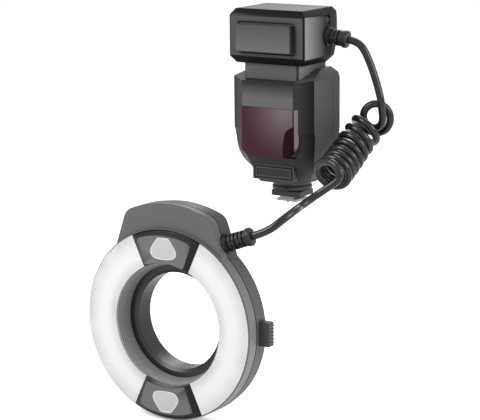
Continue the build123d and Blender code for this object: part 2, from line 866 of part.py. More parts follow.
def relief(length):
    """A moulded strain relief along Z: spigot, ribbed body with staggered slots, end collar."""
    body_end = length - relief_collar_length
    outline = make_face(
        Polyline(
            (0, -relief_spigot_length),
            (relief_spigot_radius, -relief_spigot_length),
            (relief_spigot_radius, 0),
            (relief_root_radius, 0),
            (relief_root_radius, relief_root_length),
            (relief_radius, relief_root_length),
            (relief_radius * relief_taper_share, body_end),
            (relief_collar_radius - cord_diameter / 12, body_end),
            (relief_collar_radius, body_end + cord_diameter / 12),
            (relief_collar_radius, length - cord_diameter / 6),
            (relief_collar_radius - cord_diameter / 6, length),
            (0, length),
            close=True,
        )
    )
    piece = revolve(Plane.XZ * outline, Axis.Z)
    rows = int((body_end - relief_root_length) / relief_slot_pitch)
    ring_outer = relief_radius + overrun
    for row in range(rows):
        start = relief_root_length + relief_slot_pitch * (row + 0.5)
        ring = Cylinder(ring_outer, relief_slot_width) - Cylinder(relief_neck_radius, relief_slot_width)
        spoke = Box(2 * ring_outer, relief_slot_rib, relief_slot_width)
        turn = 90 * (row % 2)
        ring = ring - Rot(0, 0, turn) * spoke
        piece = piece - Pos(0, 0, start) * ring
    return piece


def build_reliefs():
    """The two strain reliefs, on the head's side and on the ring head's crest."""
    head = relief_plane(head_half_width, head_relief_y, head_relief_z, head_relief_direction)
    keep("head_strain_relief", head * relief(head_relief_length))
    ring = relief_plane(ring_relief_x, ring_relief_y, ring_relief_z, ring_relief_direction)
    keep("ring_strain_relief", ring * relief(ring_relief_length))


# Cord


def station(turn):
    """Centre, axis and radius of the coil at a turn: a smooth curve through the stations."""
    rows = [(s[0], *s[1], *s[2], s[3]) for s in coil_stations]
    last = len(rows) - 1
    i = 0
    while i < last - 1 and turn > rows[i + 1][0]:
        i += 1

    def slope(k):
        low = rows[max(k - 1, 0)]
        high = rows[min(k + 1, last)]
        return [(b - a) / (high[0] - low[0]) for a, b in zip(low[1:], high[1:])]

    span = rows[i + 1][0] - rows[i][0]
    s = (turn - rows[i][0]) / span
    weights = (
        2 * s**3 - 3 * s**2 + 1,
        (s**3 - 2 * s**2 + s) * span,
        3 * s**2 - 2 * s**3,
        (s**3 - s**2) * span,
    )
    columns = zip(rows[i][1:], slope(i), rows[i + 1][1:], slope(i + 1))
    values = [sum(w * v for w, v in zip(weights, column)) for column in columns]
    return Vector(*values[0:3]), Vector(*values[3:6]).normalized(), values[6]


def coil_point(turn):
    """A point on the cord's centre line, at a turn of the coil."""
    centre, axis, radius = station(turn)
    across = Vector(*coil_across)
    first = (across - axis * axis.dot(across)).normalized()
    second = first.cross(axis)
    angle = 2 * pi * turn
    return centre + (first * cos(angle) + second * sin(angle)) * radius


def coil_tangent(turn):
    """The way the cord runs at a turn of the coil."""
    return (coil_point(turn + coil_turn_step) - coil_point(turn - coil_turn_step)).normalized()


def biarc(start, start_way, end, end_way):
    """Two arcs that join two points with the given tangents."""
    chord = end - start
    ways = start_way + end_way
    a = 2 * (1 - start_way.dot(end_way))
    b = 2 * chord.dot(ways)
    c = chord.dot(chord)
    reach = (-b + sqrt(b * b + 4 * a * c)) / (2 * a)
    middle = ((start + start_way * reach) + (end - end_way * reach)) / 2
    first = Edge.make_tangent_arc(start, start_way, middle)
    second_way = first % 1
    second = Edge.make_tangent_arc(middle, second_way, end)
    return [first, second]


def cord_section(start, way):
    """The cord's round section, square to the way it runs."""
    return Plane(origin=start, z_dir=way) * Circle(cord_diameter / 2)


def build_coil():
    """The coiled stretch: packed turns and one loose loop, in one unbroken tube."""
    count = int(round(coil_turns * coil_steps))
    turns = [coil_turns * i / count for i in range(count + 1)]
    start_way = coil_tangent(0.0)
    end_way = coil_tangent(coil_turns)
    first = coil_point(0.0)
    last = coil_point(coil_turns)
    edges = [Edge.make_line(first - start_way * cord_diameter, first)]
    for a, b in zip(turns, turns[1:]):
        edges += biarc(coil_point(a), coil_tangent(a), coil_point(b), coil_tangent(b))
    edges.append(Edge.make_line(last, last + end_way * cord_diameter))
    path = Wire(edges)
    radii = [edge.radius for edge in edges if edge.geom_type == GeomType.CIRCLE]
    begin = first - start_way * cord_diameter
    keep("cord_coil", sweep(cord_section(begin, start_way), path))
    coil_gap(path, radii)
    return begin, start_way, last + end_way * cord_diameter, end_way


def coil_gap(path, radii):
    """Measure and print the coil's least gap to itself and its smallest radius."""
    count = coil_samples
    length = path.length
    points = [path @ (i / count) for i in range(count + 1)]
    skip = int(count * coil_skip_share * cord_diameter / length)
    least = min(
        (points[i] - points[j]).length for i in range(0, count + 1) for j in range(i + skip, count + 1)
    )
    print("coil length", round(length, 1), "least gap", round(least - cord_diameter, 2),
          "least radius", round(min(radii), 1))


def free_stretch(name, points):
    """A free stretch of cord: straight runs joined by the largest tangent arcs."""
    vectors = [Vector(*p) for p in points]
    radii = []
    for a, b, c in zip(vectors, vectors[1:], vectors[2:]):
        turn = radians((b - a).get_angle(c - b))
        run = min((b - a).length, (c - b).length)
        radii.append(free_arc_share * run / tan(turn / 2))
    path = FilletPolyline(*vectors, radius=radii)
    tube = sweep(cord_section(vectors[0], vectors[1] - vectors[0]), path)
    volume = pi * (cord_diameter / 2) ** 2 * path.length
    print(name, "length", round(path.length, 1), "radii", [round(r, 1) for r in radii],
          "volume ratio", round(tube.volume / volume, 4))
    keep(name, tube)


def relief_tip(x, y, z, direction, length):
    """Where the cord leaves a strain relief."""
    return Vector(x, y, z) + Vector(*direction).normalized() * length


def build_cord():
    """The coil and the two free stretches that lead to the strain reliefs."""
    begin, begin_way, end, end_way = build_coil()
    head_tip = relief_tip(head_half_width, head_relief_y, head_relief_z, head_relief_direction,
                          head_relief_length)
    ring_tip = relief_tip(ring_relief_x, ring_relief_y, ring_relief_z, ring_relief_direction,
                          ring_relief_length)
    head_way = Vector(*head_relief_direction).normalized()
    ring_way = Vector(*ring_relief_direction).normalized()
    upper = [head_tip, head_tip + head_way * upper_lead]
    upper += [Vector(*p) for p in upper_route]
    upper += [end + end_way * upper_tail, end]
    free_stretch("cord_upper", upper)
    lower = [begin, begin - begin_way * lower_lead]
    lower += [Vector(*p) for p in lower_route]
    lower += [ring_tip + ring_way * lower_tail, ring_tip]
    free_stretch("cord_lower", lower)


# Ring head


def crest_outline(inset=0.0):
    """The ring head's outline from the front: the ring with its crest."""
    ring = Pos(0, ring_axis_z) * Circle(ring_radius - inset)
    side = crest_half_width - inset
    foot = crest_foot_half_width - inset
    top_z = ring_axis_z + sqrt((crest_radius - inset) ** 2 - side**2)
    peak_z = ring_axis_z + crest_radius - inset
    wire = Wire(
        edges=[
            *Line((-foot, crest_foot_z), (-side, top_z)).edges(),
            *ThreePointArc((-side, top_z), (0, peak_z), (side, top_z)).edges(),
            *Line((side, top_z), (foot, crest_foot_z)).edges(),
            *Line((foot, crest_foot_z), (0, ring_axis_z)).edges(),
            *Line((0, ring_axis_z), (-foot, crest_foot_z)).edges(),
        ]
    )
    crest = make_face(wire)
    corners = [v for v in crest.vertices() if abs(v.Y - top_z) < crest_corner / 10]
    crest = fillet(corners, crest_corner - inset)
    return ring + crest


def sleeve_profile():
    """The bore's ribbed wall: a cone of fine steps from the front to the rear."""
    front = ring_front_y + ring_face_thickness
    length = ring_board_rear_y - front
    step = length / sleeve_ribs
    fall = (ring_bore_front_radius - ring_bore_rear_radius) / sleeve_ribs
    points = []
    for i in range(sleeve_ribs):
        radius = ring_bore_front_radius - fall * i
        points.append((radius, front + step * i))
        points.append((radius - fall / 2 - sleeve_rib_height, front + step * (i + 0.5)))
    tube = ring_bore_front_radius + sleeve_wall
    points.append((ring_bore_rear_radius, ring_board_rear_y))
    points.append((tube, ring_board_rear_y))
    points.append((tube, ring_board_y))
    points.append((sleeve_flange_radius, ring_board_y))
    points.append((sleeve_flange_radius, ring_board_y - sleeve_wall))
    points.append((tube, ring_board_y - sleeve_wall))
    points.append((tube, front))
    return points


def tab_form(side, y0):
    """One release tab as drawn on the right: claw plate round the bore, arm and ribbed pad."""
    y1 = y0 + tab_plate_thickness
    plate = tube_turned(tab_plate_inner_radius, tab_plate_outer_radius, y0, y1)
    claw_ring = tube_turned(tab_claw_radius, tab_plate_inner_radius + overrun / 4, y0, y1)
    claw_zone = block(-ring_radius, 0, y0 - overrun, y1 + overrun,
                      ring_axis_z - tab_claw_half_height, ring_axis_z + tab_claw_half_height)
    arm = block(tab_plate_inner_radius + wall, tab_pad_start_x + wall, y0, y1,
                ring_axis_z - tab_arm_half_height, ring_axis_z + tab_arm_half_height)
    pad_face = Pos((tab_pad_start_x + tab_pad_end_x) / 2, ring_axis_z) * RectangleRounded(
        tab_pad_end_x - tab_pad_start_x, 2 * tab_pad_half_height, tab_pad_corner
    )
    pad = front_prism(pad_face, tab_pad_front_y, tab_pad_rear_y)
    for i in range(tab_serrations):
        z = ring_axis_z - tab_pad_half_height + 2 * tab_pad_half_height * (i + 0.5) / tab_serrations
        half = tab_pad_half_height / tab_serrations / 2
        pad = pad - block(tab_pad_end_x - tab_serration_depth, tab_pad_end_x + overrun,
                          tab_pad_front_y - overrun, tab_pad_rear_y + overrun, z - half, z + half)
    tab = plate + (claw_ring & claw_zone) + arm + pad
    if side < 0:
        tab = mirror(tab, Plane.YZ)
    return tab


def tab_clearance(side):
    """The slots that a release tab's pad and arm need in the shells."""
    gap = tab_slot_gap
    x0 = tab_pad_start_x - tab_travel - gap
    slot = block(x0, ring_radius + overrun, tab_pad_front_y - gap, tab_pad_rear_y + gap,
                 ring_axis_z - tab_pad_half_height - gap, ring_axis_z + tab_pad_half_height + gap)
    slot = slot + block(tab_plate_outer_radius, ring_radius + overrun, tab_right_y - gap,
                        tab_left_y + tab_plate_thickness + gap,
                        ring_axis_z - tab_arm_half_height - gap, ring_axis_z + tab_arm_half_height + gap)
    if side < 0:
        slot = mirror(slot, Plane.YZ)
    return slot


def ring_shells():
    """Front and rear shells of the ring head, hollow, with the crest."""
    outline = crest_outline()
    front = front_prism(outline, crest_front_y, ring_seam_y)
    front = front + tube_turned(ring_bore_front_radius, ring_radius, ring_front_y + ring_side_step,
                                ring_seam_y)
    rear_outline = crest_outline(crest_rear_inset)
    rear = front_prism(outline, ring_seam_y, (ring_seam_y + ring_rear_y) / 2)
    rear = rear + front_prism(rear_outline, (ring_seam_y + ring_rear_y) / 2, ring_rear_y)
    inner = crest_outline(ring_wall)
    front_face = ring_front_y + ring_face_thickness
    front_hollow = front_prism(inner, crest_front_y + ring_wall, ring_seam_y + overrun)
    front_hollow = front_hollow + tube_turned(ring_bore_front_radius, ring_radius - ring_wall,
                                              front_face - overrun, ring_seam_y + overrun)
    rear_hollow = front_prism(inner, ring_seam_y - overrun, ring_rear_y - ring_wall)
    bore = rod_y(ring_bore_front_radius + sleeve_wall + shaft_gap, ring_front_y - overrun,
                 ring_rear_y + overrun, 0, ring_axis_z)
    seat = rod_y(diffuser_outer_radius + shaft_gap, ring_front_y - overrun, front_face, 0, ring_axis_z)
    front = front - front_hollow - bore - seat
    rear_bore = rod_y(adapter_flange_radius + running_gap, ring_seam_y - overrun, ring_rear_y + overrun, 0,
                      ring_axis_z)
    rear = rear - rear_hollow - rear_bore
    neck = tube_turned(adapter_flange_radius + running_gap, adapter_flange_radius + running_gap + panel_wall,
                       adapter_groove_rear_y + running_gap, ring_rear_y)
    rear = rear + neck
    relief = relief_hole(ring_relief_x, ring_relief_y, ring_relief_z, ring_relief_direction)
    for side in (1, -1):
        front = front - tab_clearance(side)
        rear = rear - tab_clearance(side)
    return front - relief, rear - relief


def build_ring_head():
    """The ring head's shells and all that they hold."""
    front, rear = ring_shells()
    posts, screws = ring_posts()
    rear = rear + posts
    for screw in screws:
        rear = rear - screw
    keep("ring_front_shell", largest(front))
    keep("ring_rear_shell", largest(rear))
    keep("ring_screws", Compound(children=screws))
    keep("bore_sleeve", turned(sleeve_profile()))
    keep("release_tab_right", tab_form(1, tab_right_y))
    keep("release_tab_left", tab_form(-1, tab_left_y))
    build_light(screws)
    board = tube_turned(ring_board_inner_radius, ring_board_outer_radius, ring_board_y,
                        ring_board_rear_y)
    for x, z in screw_places():
        board = board - rod_y(ring_screw_radius + shaft_gap, ring_board_y - overrun, ring_rear_y, x, z)
    keep("ring_circuit_board", board)
    keep("adapter_ring", adapter())


def screw_places():
    """Where the ring head's screws stand."""
    places = []
    for angle in ring_screw_angles:
        x = ring_screw_circle * cos(radians(angle))
        z = ring_axis_z + ring_screw_circle * sin(radians(angle))
        places.append((x, z))
    return places


def ring_posts():
    """Screw posts inside the rear shell, and the screws that hold board and lamp plates."""
    posts = None
    screws = []
    for x, z in screw_places():
        post = rod_y(ring_screw_head_radius + panel_wall, ring_board_rear_y,
                     ring_rear_y, x, z)
        posts = post if posts is None else posts + post
        head = rod_y(ring_screw_head_radius, ring_rear_y - ring_screw_head, ring_rear_y, x, z)
        shank = rod_y(ring_screw_radius, ring_rear_y - ring_screw_length, ring_rear_y - ring_screw_head, x, z)
        screws.append(head + shank)
    return posts, screws


def build_light(screws):
    """Diffusers, reflectors, flash tubes, lamp plates with lenses and small lamps."""
    front = ring_front_y
    back = front + ring_face_thickness
    for name, middle in (("right", 0.0), ("left", 180.0)):
        half = diffuser_half_angle - diffuser_gap_angle
        keep("diffuser_" + name, tube_turned(diffuser_inner_radius, diffuser_outer_radius, front, back,
                                             middle - half, 2 * half))
        inner = reflector_inner_radius
        outer = reflector_outer_radius
        deep = ring_board_y
        thin = reflector_wall
        trough = ((inner, back), (outer, back), (outer - thin * 2, deep), (inner + thin * 2, deep))
        hollow = ((inner + thin, back - overrun), (outer - thin, back - overrun),
                  (outer - thin * 3, deep - thin), (inner + thin * 3, deep - thin))
        start = middle - reflector_half_angle
        keep("reflector_" + name, turned(trough, start, 2 * reflector_half_angle)
             - turned(hollow, start - reflector_end_angle, 2 * (reflector_half_angle + reflector_end_angle)))
        keep("flash_tube_" + name, flash_tube(middle))
    sockets = []
    for middle in (0.0, 180.0):
        for side in (-1, 1):
            sockets.append(tube_socket(middle + side * tube_half_angle))
    keep("tube_sockets", Compound(children=sockets))
    leds = []
    for name, middle in (("top", 90.0), ("bottom", 270.0)):
        plate, lens, led = lamp_plate(middle)
        for screw in screws:
            plate = plate - screw
        keep("lamp_plate_" + name, plate)
        keep("lamp_lens_" + name, lens)
        leds.append(led)
    keep("focus_lamps", Compound(children=leds))


def flash_tube(middle):
    """A curved glass flash tube."""
    start = Pos(0, 0, ring_axis_z) * Rot(0, -(middle - tube_half_angle), 0)
    circle = Pos(tube_circle_radius, tube_y) * Circle(tube_radius)
    return start * revolve(circle, Axis((0, 0, 0), (0, -1, 0)), 2 * tube_half_angle)


def tube_socket(angle):
    """A rubber holder at the end of a flash tube."""
    reach = degrees_of(tube_socket_length, tube_circle_radius)
    middle_y = (tube_y - tube_socket_radius + ring_board_y) / 2
    foot = Pos(tube_circle_radius, middle_y) * Rectangle(
        2 * tube_socket_radius, ring_board_y - tube_y + tube_socket_radius
    )
    hole = Pos(tube_circle_radius, tube_y) * Circle(tube_radius)
    axis = Axis((0, 0, 0), (0, -1, 0))
    start = Pos(0, 0, ring_axis_z) * Rot(0, -(angle - reach / 2), 0)
    return start * revolve(foot - hole, axis, reach)


def degrees_of(length, radius):
    """The angle that an arc of the given length takes."""
    return length / radius * 180 / pi


def lamp_plate(middle):
    """A raised grey plate with its chamfers, and the lens and small lamp that it holds."""
    half = plate_half_angle
    base = ring_front_y + ring_face_thickness
    face = ring_front_y - plate_rise
    cut = plate_chamfer
    outline = (
        (diffuser_inner_radius, base),
        (diffuser_inner_radius, face + cut),
        (diffuser_inner_radius + cut / 2, face),
        (diffuser_outer_radius - cut, face),
        (diffuser_outer_radius, face + cut),
        (diffuser_outer_radius, base),
    )
    plate = turned(outline, middle - half, 2 * half)
    for side in (-1, 1):
        edge_angle = middle + side * half
        section = Rot(0, 0, 45) * Rectangle(cut * sqrt(2), cut * sqrt(2))
        bar = extrude(Plane.YZ * section, amount=ring_radius)
        bar = Pos(0, 0, ring_axis_z) * Rot(0, -edge_angle, 0) * Pos(0, face, 0) * bar
        plate = plate - bar
    lens_face = lens_outline()
    depth = face + lens_seat
    turn = Pos(0, 0, ring_axis_z) * Rot(0, 90 - middle, 0)
    pocket = turn * front_prism(lens_face, face - overrun, depth)
    lens = turn * front_prism(offset(lens_face, -running_gap / 4), face - lens_rise, depth)
    led_hole = turn * rod_y(led_radius + running_gap, depth - overrun, base + overrun, 0, led_circle_radius)
    led = rod_y(led_radius, depth + running_gap, depth + running_gap + led_height, 0, led_circle_radius)
    led = led + rod_y(led_stem_radius, depth + led_height, ring_board_y, 0, led_circle_radius)
    for x, z in screw_places():
        if (z - ring_axis_z) * sin(radians(middle)) > 0:
            plate = plate + rod_y(plate_boss_radius, base - overrun / 4, ring_board_y, x, z)
    return largest(plate - pocket - led_hole), lens, turn * led


def lens_outline():
    """The lamp lens: a rounded trapezium, wide towards the bore."""
    return polygon(
        (
            (-lens_wide_half, lens_inner_radius + lens_corner),
            (-lens_wide_half * lens_foot_share, lens_inner_radius),
            (lens_wide_half * lens_foot_share, lens_inner_radius),
            (lens_wide_half, lens_inner_radius + lens_corner),
            (lens_narrow_half, lens_outer_radius),
            (-lens_narrow_half, lens_outer_radius),
        ),
        lens_corner / 2,
    )


def adapter():
    """The lens adapter: grooved flange, stepped hole and the male filter thread."""
    thread_end = adapter_rear_y + adapter_thread_length
    points = [
        (adapter_hole_radius + adapter_hole_step, adapter_front_y),
        (adapter_flange_radius, adapter_front_y),
        (adapter_flange_radius, adapter_groove_front_y),
        (adapter_groove_radius, adapter_groove_front_y),
        (adapter_groove_radius, adapter_groove_rear_y),
        (adapter_flange_radius, adapter_groove_rear_y),
        (adapter_flange_radius, adapter_rear_y),
        (adapter_thread_radius - adapter_thread_relief, adapter_rear_y),
    ]
    root = adapter_thread_radius - adapter_thread_relief
    flank = (adapter_thread_pitch - adapter_thread_crest) / 2
    turns = int((adapter_thread_length - adapter_thread_crest) / adapter_thread_pitch)
    y = thread_end - turns * adapter_thread_pitch - adapter_thread_crest
    for i in range(turns + 1):
        points.append((adapter_thread_radius, y))
        points.append((adapter_thread_radius, y + adapter_thread_crest))
        if i < turns:
            points.append((root, y + adapter_thread_crest + flank))
        y += adapter_thread_pitch
    points.append((adapter_hole_radius, thread_end))
    points.append((adapter_hole_radius, adapter_groove_front_y))
    return turned(points)


# Shoe foot


def build_foot():
    """Foot with its neck, lock plate, lock wheel, lock pin and contacts."""
    plate = block(-foot_plate_half_width, foot_plate_half_width, -foot_plate_half_length,
                  foot_plate_half_length, 0, foot_plate_thickness)
    plate = chamfer(plate.edges().filter_by(Axis.Z), foot_corner)
    neck = block(-foot_neck_half_width, foot_neck_half_width, -foot_neck_half_length, foot_neck_half_length,
                 foot_plate_thickness, lock_plate_bottom_z - lock_travel / 2)
    column = rod_z(foot_column_radius, foot_plate_thickness, pedestal_bottom_z)
    foot = plate + neck + column
    bore_top = lock_pin_top_z + lock_pin_reach + running_gap
    bores = [rod_z(lock_pin_radius + shaft_gap, -overrun, bore_top, 0, lock_pin_y)]
    bore_top = contact_top_z + contact_reach + running_gap
    for x, y in contact_places:
        bores.append(rod_z(contact_radius + shaft_gap, -overrun, bore_top, x, y))
    for bore in bores:
        foot = foot - bore
    keep("shoe_foot", foot)
    pedestal = Solid.make_cone(pedestal_bottom_radius, pedestal_top_radius, body_bottom_z - pedestal_bottom_z)
    keep("foot_pedestal", Pos(0, 0, pedestal_bottom_z) * pedestal)
    lock = block(-lock_plate_half_width, lock_plate_half_width, -lock_plate_half_length,
                 lock_plate_half_length, lock_plate_bottom_z, lock_plate_top_z)
    lock = chamfer(lock.edges().filter_by(Axis.Z), lock_plate_corner)
    clear = block(-foot_neck_half_width - running_gap, foot_neck_half_width + running_gap,
                  -foot_neck_half_length - running_gap, foot_neck_half_length + running_gap,
                  lock_plate_bottom_z - overrun, lock_plate_bottom_z + lock_travel)
    lock = lock - clear - rod_z(foot_column_radius + running_gap, 0, lock_plate_top_z + overrun)
    keep("lock_plate", lock)
    wheel = rod_z(lock_wheel_radius, lock_wheel_bottom_z, lock_wheel_top_z)
    for i in range(lock_wheel_teeth):
        tooth = rod_z(lock_wheel_tooth, lock_wheel_bottom_z - overrun, lock_wheel_top_z + overrun,
                      lock_wheel_radius)
        wheel = wheel - Rot(0, 0, 360 * i / lock_wheel_teeth) * tooth
    keep("lock_wheel", wheel - rod_z(foot_column_radius + shaft_gap, 0, lock_wheel_top_z + overrun))
    keep("lock_pin", rod_z(lock_pin_radius, -lock_pin_reach, lock_pin_top_z, 0, lock_pin_y))
    pins = [rod_z(contact_radius, -contact_reach, contact_top_z, x, y) for x, y in contact_places]
    keep("contact_pins", Compound(children=pins))


# Batteries and their door


def build_batteries():
    """Four cells lying side to side, their contact plates and the hinged door."""
    cells = []
    plates = []
    end = cell_start_x + cell_length + cell_tip_length
    for column in range(2):
        for row in range(2):
            y = cell_front_y + column * (2 * cell_radius + cell_gap)
            z = cell_low_z + row * (2 * cell_radius + cell_gap)
            cell = rod_x(cell_radius, cell_start_x, cell_start_x + cell_length, y, z)
            cell = cell + rod_x(cell_tip_radius, cell_start_x + cell_length, end, y, z)
            cells.append(cell)
            plates.append(block(end, end + contact_plate_thickness,
                                y - contact_spring_radius, y + contact_spring_radius,
                                z - contact_spring_radius, z + contact_spring_radius)
                          + rod_x(contact_spring_radius / 2, end, end + contact_spring_length, y, z))
    keep("battery_cells", Compound(children=cells))
    keep("battery_contacts", Compound(children=plates))
    door_x = -body_half_width
    door = door_prism(0.0, door_x, door_x + door_thickness)
    width = door_rear_y - door_front_y
    for i in range(door_grip_ribs):
        y = door_front_y + width / 2 + (i - (door_grip_ribs - 1) / 2) * 3 * door_grip_rib
        z = door_top_z - 2 * door_grip_length
        door = door + block(door_x - door_grip_height, door_x, y - door_grip_rib / 2, y + door_grip_rib / 2,
                            z - door_grip_length, z + door_grip_length)
    pin_x, pin_y = hinge_place()
    door = door & block(door_x - overrun, door_x + overrun, door_front_y - overrun, pin_y,
                        door_bottom_z - overrun, door_top_z + overrun)
    height = door_top_z - door_bottom_z
    share = door_knuckle_share
    door_knuckles = rod_z(door_knuckle_radius, door_bottom_z + share * height + running_gap,
                          door_top_z - share * height - running_gap, pin_x, pin_y)
    bore = rod_z(door_pin_radius + shaft_gap, door_bottom_z - overrun, door_top_z + overrun, pin_x, pin_y)
    clear = rod_z(door_knuckle_radius + running_gap, door_bottom_z - overrun,
                  door_bottom_z + share * height, pin_x, pin_y)
    clear = clear + rod_z(door_knuckle_radius + running_gap, door_top_z - share * height,
                          door_top_z + overrun, pin_x, pin_y)
    door = (door - clear) + door_knuckles
    keep("battery_door", door - bore)
    keep("door_hinge_pin", rod_z(door_pin_radius, door_bottom_z + running_gap, door_top_z - running_gap,
                                 pin_x, pin_y))


# Controls on the rear


def build_controls():
    """Display, buttons, select dial, set button, test button, switch and their board."""
    rear = body_rear_y
    cuts = []
    middle_z = (display_bottom_z + display_top_z) / 2
    window = plate_front(display_half_width, display_bottom_z, display_top_z, rear - display_window_thickness,
                         rear, display_corner)
    keep("display_window", window)
    grow = shaft_gap
    cuts.append(plate_front(display_half_width + grow, display_bottom_z - grow, display_top_z + grow,
                            rear - display_window_thickness, rear + overrun, display_corner + grow))
    frame = 2 * display_corner
    cuts.append(plate_front(display_half_width - frame, display_bottom_z + frame, display_top_z - frame,
                            board_y, rear, display_corner))
    module_y = board_y + board_thickness
    keep("display_module", plate_front(display_half_width - wall, display_bottom_z + wall,
                                       display_top_z - wall, module_y,
                                       module_y + display_module_thickness - panel_wall, display_corner / 2))
    foot_y = rear - wall - running_gap
    root_y = foot_y - button_flange_thickness
    low_z = button_row_z - button_half_height
    top_z = button_row_z + button_half_height
    for i in range(button_count):
        x = (i - (button_count - 1) / 2) * button_pitch
        button = plate_front(button_half_width, low_z, top_z, root_y, rear + button_proud,
                             button_half_height * button_corner_share, x)
        foot = plate_front(button_half_width + button_flange, low_z - button_flange, top_z + button_flange,
                           root_y, foot_y, button_half_height, x)
        keep("button_" + str(i + 1), button + foot)
        cuts.append(plate_front(button_half_width + running_gap, low_z - running_gap, top_z + running_gap,
                                rear - 2 * wall, rear + overrun, button_half_height * hole_corner_share, x))
    dial = rod_y(dial_outer_radius, rear - wall, rear + dial_proud, 0, dial_z)
    dial = dial - rod_y(dial_inner_radius, rear - 2 * wall, rear + 2 * wall, 0, dial_z)
    for i in range(dial_ribs):
        groove = rod_y(dial_rib_depth, rear - 2 * wall, rear + 2 * wall, dial_outer_radius)
        dial = dial - Pos(0, 0, dial_z) * Rot(0, 360 * i / dial_ribs, 0) * groove
    keep("select_dial", dial)
    cuts.append(rod_y(dial_outer_radius + running_gap, rear - wall - running_gap, rear + overrun, 0, dial_z))
    cuts.append(rod_y(set_stem_radius + running_gap, board_y, rear, 0, dial_z))
    set_back = rear - wall + button_travel
    stem_back = board_y + board_thickness + button_travel + running_gap
    set_button = rod_y(set_radius, set_back, rear + set_proud, 0, dial_z)
    keep("set_button", set_button + rod_y(set_stem_radius, stem_back, set_back, 0, dial_z))
    test = rod_y(test_button_radius, foot_y, rear + button_proud, test_button_x, test_button_z)
    test_foot = rod_y(test_button_radius + button_flange, root_y, foot_y, test_button_x, test_button_z)
    keep("test_button", test + test_foot)
    cuts.append(rod_y(test_button_radius + running_gap, rear - 2 * wall, rear + overrun,
                      test_button_x, test_button_z))
    half_slot = switch_slot_half_width
    low = switch_z - switch_travel / 2
    knob = plate_front(switch_half_width, low - switch_half_height, low + switch_half_height,
                       rear + running_gap, rear + switch_proud + running_gap, half_slot, switch_x)
    stem = plate_front(half_slot, low - half_slot, low + half_slot, foot_y, rear + running_gap,
                       half_slot / 2, switch_x)
    under = plate_front(switch_half_width, low - switch_half_height, low + switch_half_height,
                        root_y, foot_y, half_slot / 2, switch_x)
    keep("power_switch", knob + stem + under)
    cuts.append(plate_front(half_slot + running_gap, low - half_slot - running_gap,
                            low + switch_travel + half_slot + running_gap, rear - 2 * wall,
                            rear + overrun, half_slot / 2, switch_x))
    keep("main_board", block(-board_half_width, board_half_width, board_y, board_y + board_thickness,
                             board_bottom_z, board_top_z))
    return cuts


def rear_bosses():
    """Posts that carry the main board, and the floor behind the dial's recess."""
    back = board_y + board_thickness
    inner = body_rear_y - wall
    bosses = rod_y(dial_outer_radius + wall, inner - panel_wall, inner, 0, dial_z)
    for side in (-1, 1):
        for z in board_post_places_z:
            bosses = bosses + rod_y(board_post_radius, back, inner, side * board_post_x, z)
    return bosses


# Parts inside the control unit


def capacitor():
    """The flash capacitor, lying across the top of the body."""
    return rod_x(capacitor_radius, -capacitor_length / 2, capacitor_length / 2, capacitor_y, capacitor_z)


def build_inside():
    """Flash capacitor, charging transformer, aiming lamp block with its lenses."""
    keep("flash_capacitor", capacitor())
    t = transformer_half
    top = capacitor_z + t
    keep("charging_transformer", block(capacitor_length / 2, capacitor_length / 2 + t,
                                       capacitor_y - t, capacitor_y + t, top - 2 * t, top))
    front = body_front_y + panel_wall + window_gap + wall
    lamps = block(-lamp_block_half_width, lamp_block_half_width, front, front + lamp_block_depth,
                  lamp_block_bottom_z, lamp_block_top_z)
    middle = (lamp_block_bottom_z + lamp_block_top_z) / 2
    lenses = []
    for side in (-1, 1):
        lenses.append(rod_y(lamp_lens_radius, front - lamp_lens_height, front + panel_wall,
                            side * lamp_lens_pitch / 2, middle))
    for lens in lenses:
        lamps = lamps - lens
    keep("aiming_lamp_block", lamps)
    keep("aiming_lamp_lenses", Compound(children=lenses))


def main():
    """Build every piece and write each one to its own file."""
    shell, rear_zone = build_body()
    build_lower_cover()
    build_neck()
    build_head()
    build_reliefs()
    build_ring_head()
    build_foot()
    build_batteries()
    cuts = build_controls()
    build_inside()
    shell = shell + rear_bosses()
    for cut in cuts:
        shell = shell - cut
    keep("body_front_shell", largest(shell - rear_zone))
    keep("body_rear_shell", largest(shell & rear_zone))
    build_cord()
    os.makedirs("parts", exist_ok=True)
    for name, shape in parts.items():
        shape.label = name
        export_step(shape, os.path.join("parts", name + ".step"))
    print(len(parts), "nodes")


main()
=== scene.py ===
"""Looks for the macro ring flash: finishes for each moulded piece, the curly cord, light and camera."""

import json
import logging
import math
from dataclasses import dataclass
from enum import Enum
from functools import cache

import bmesh
import bpy
from mathutils import Matrix, Vector

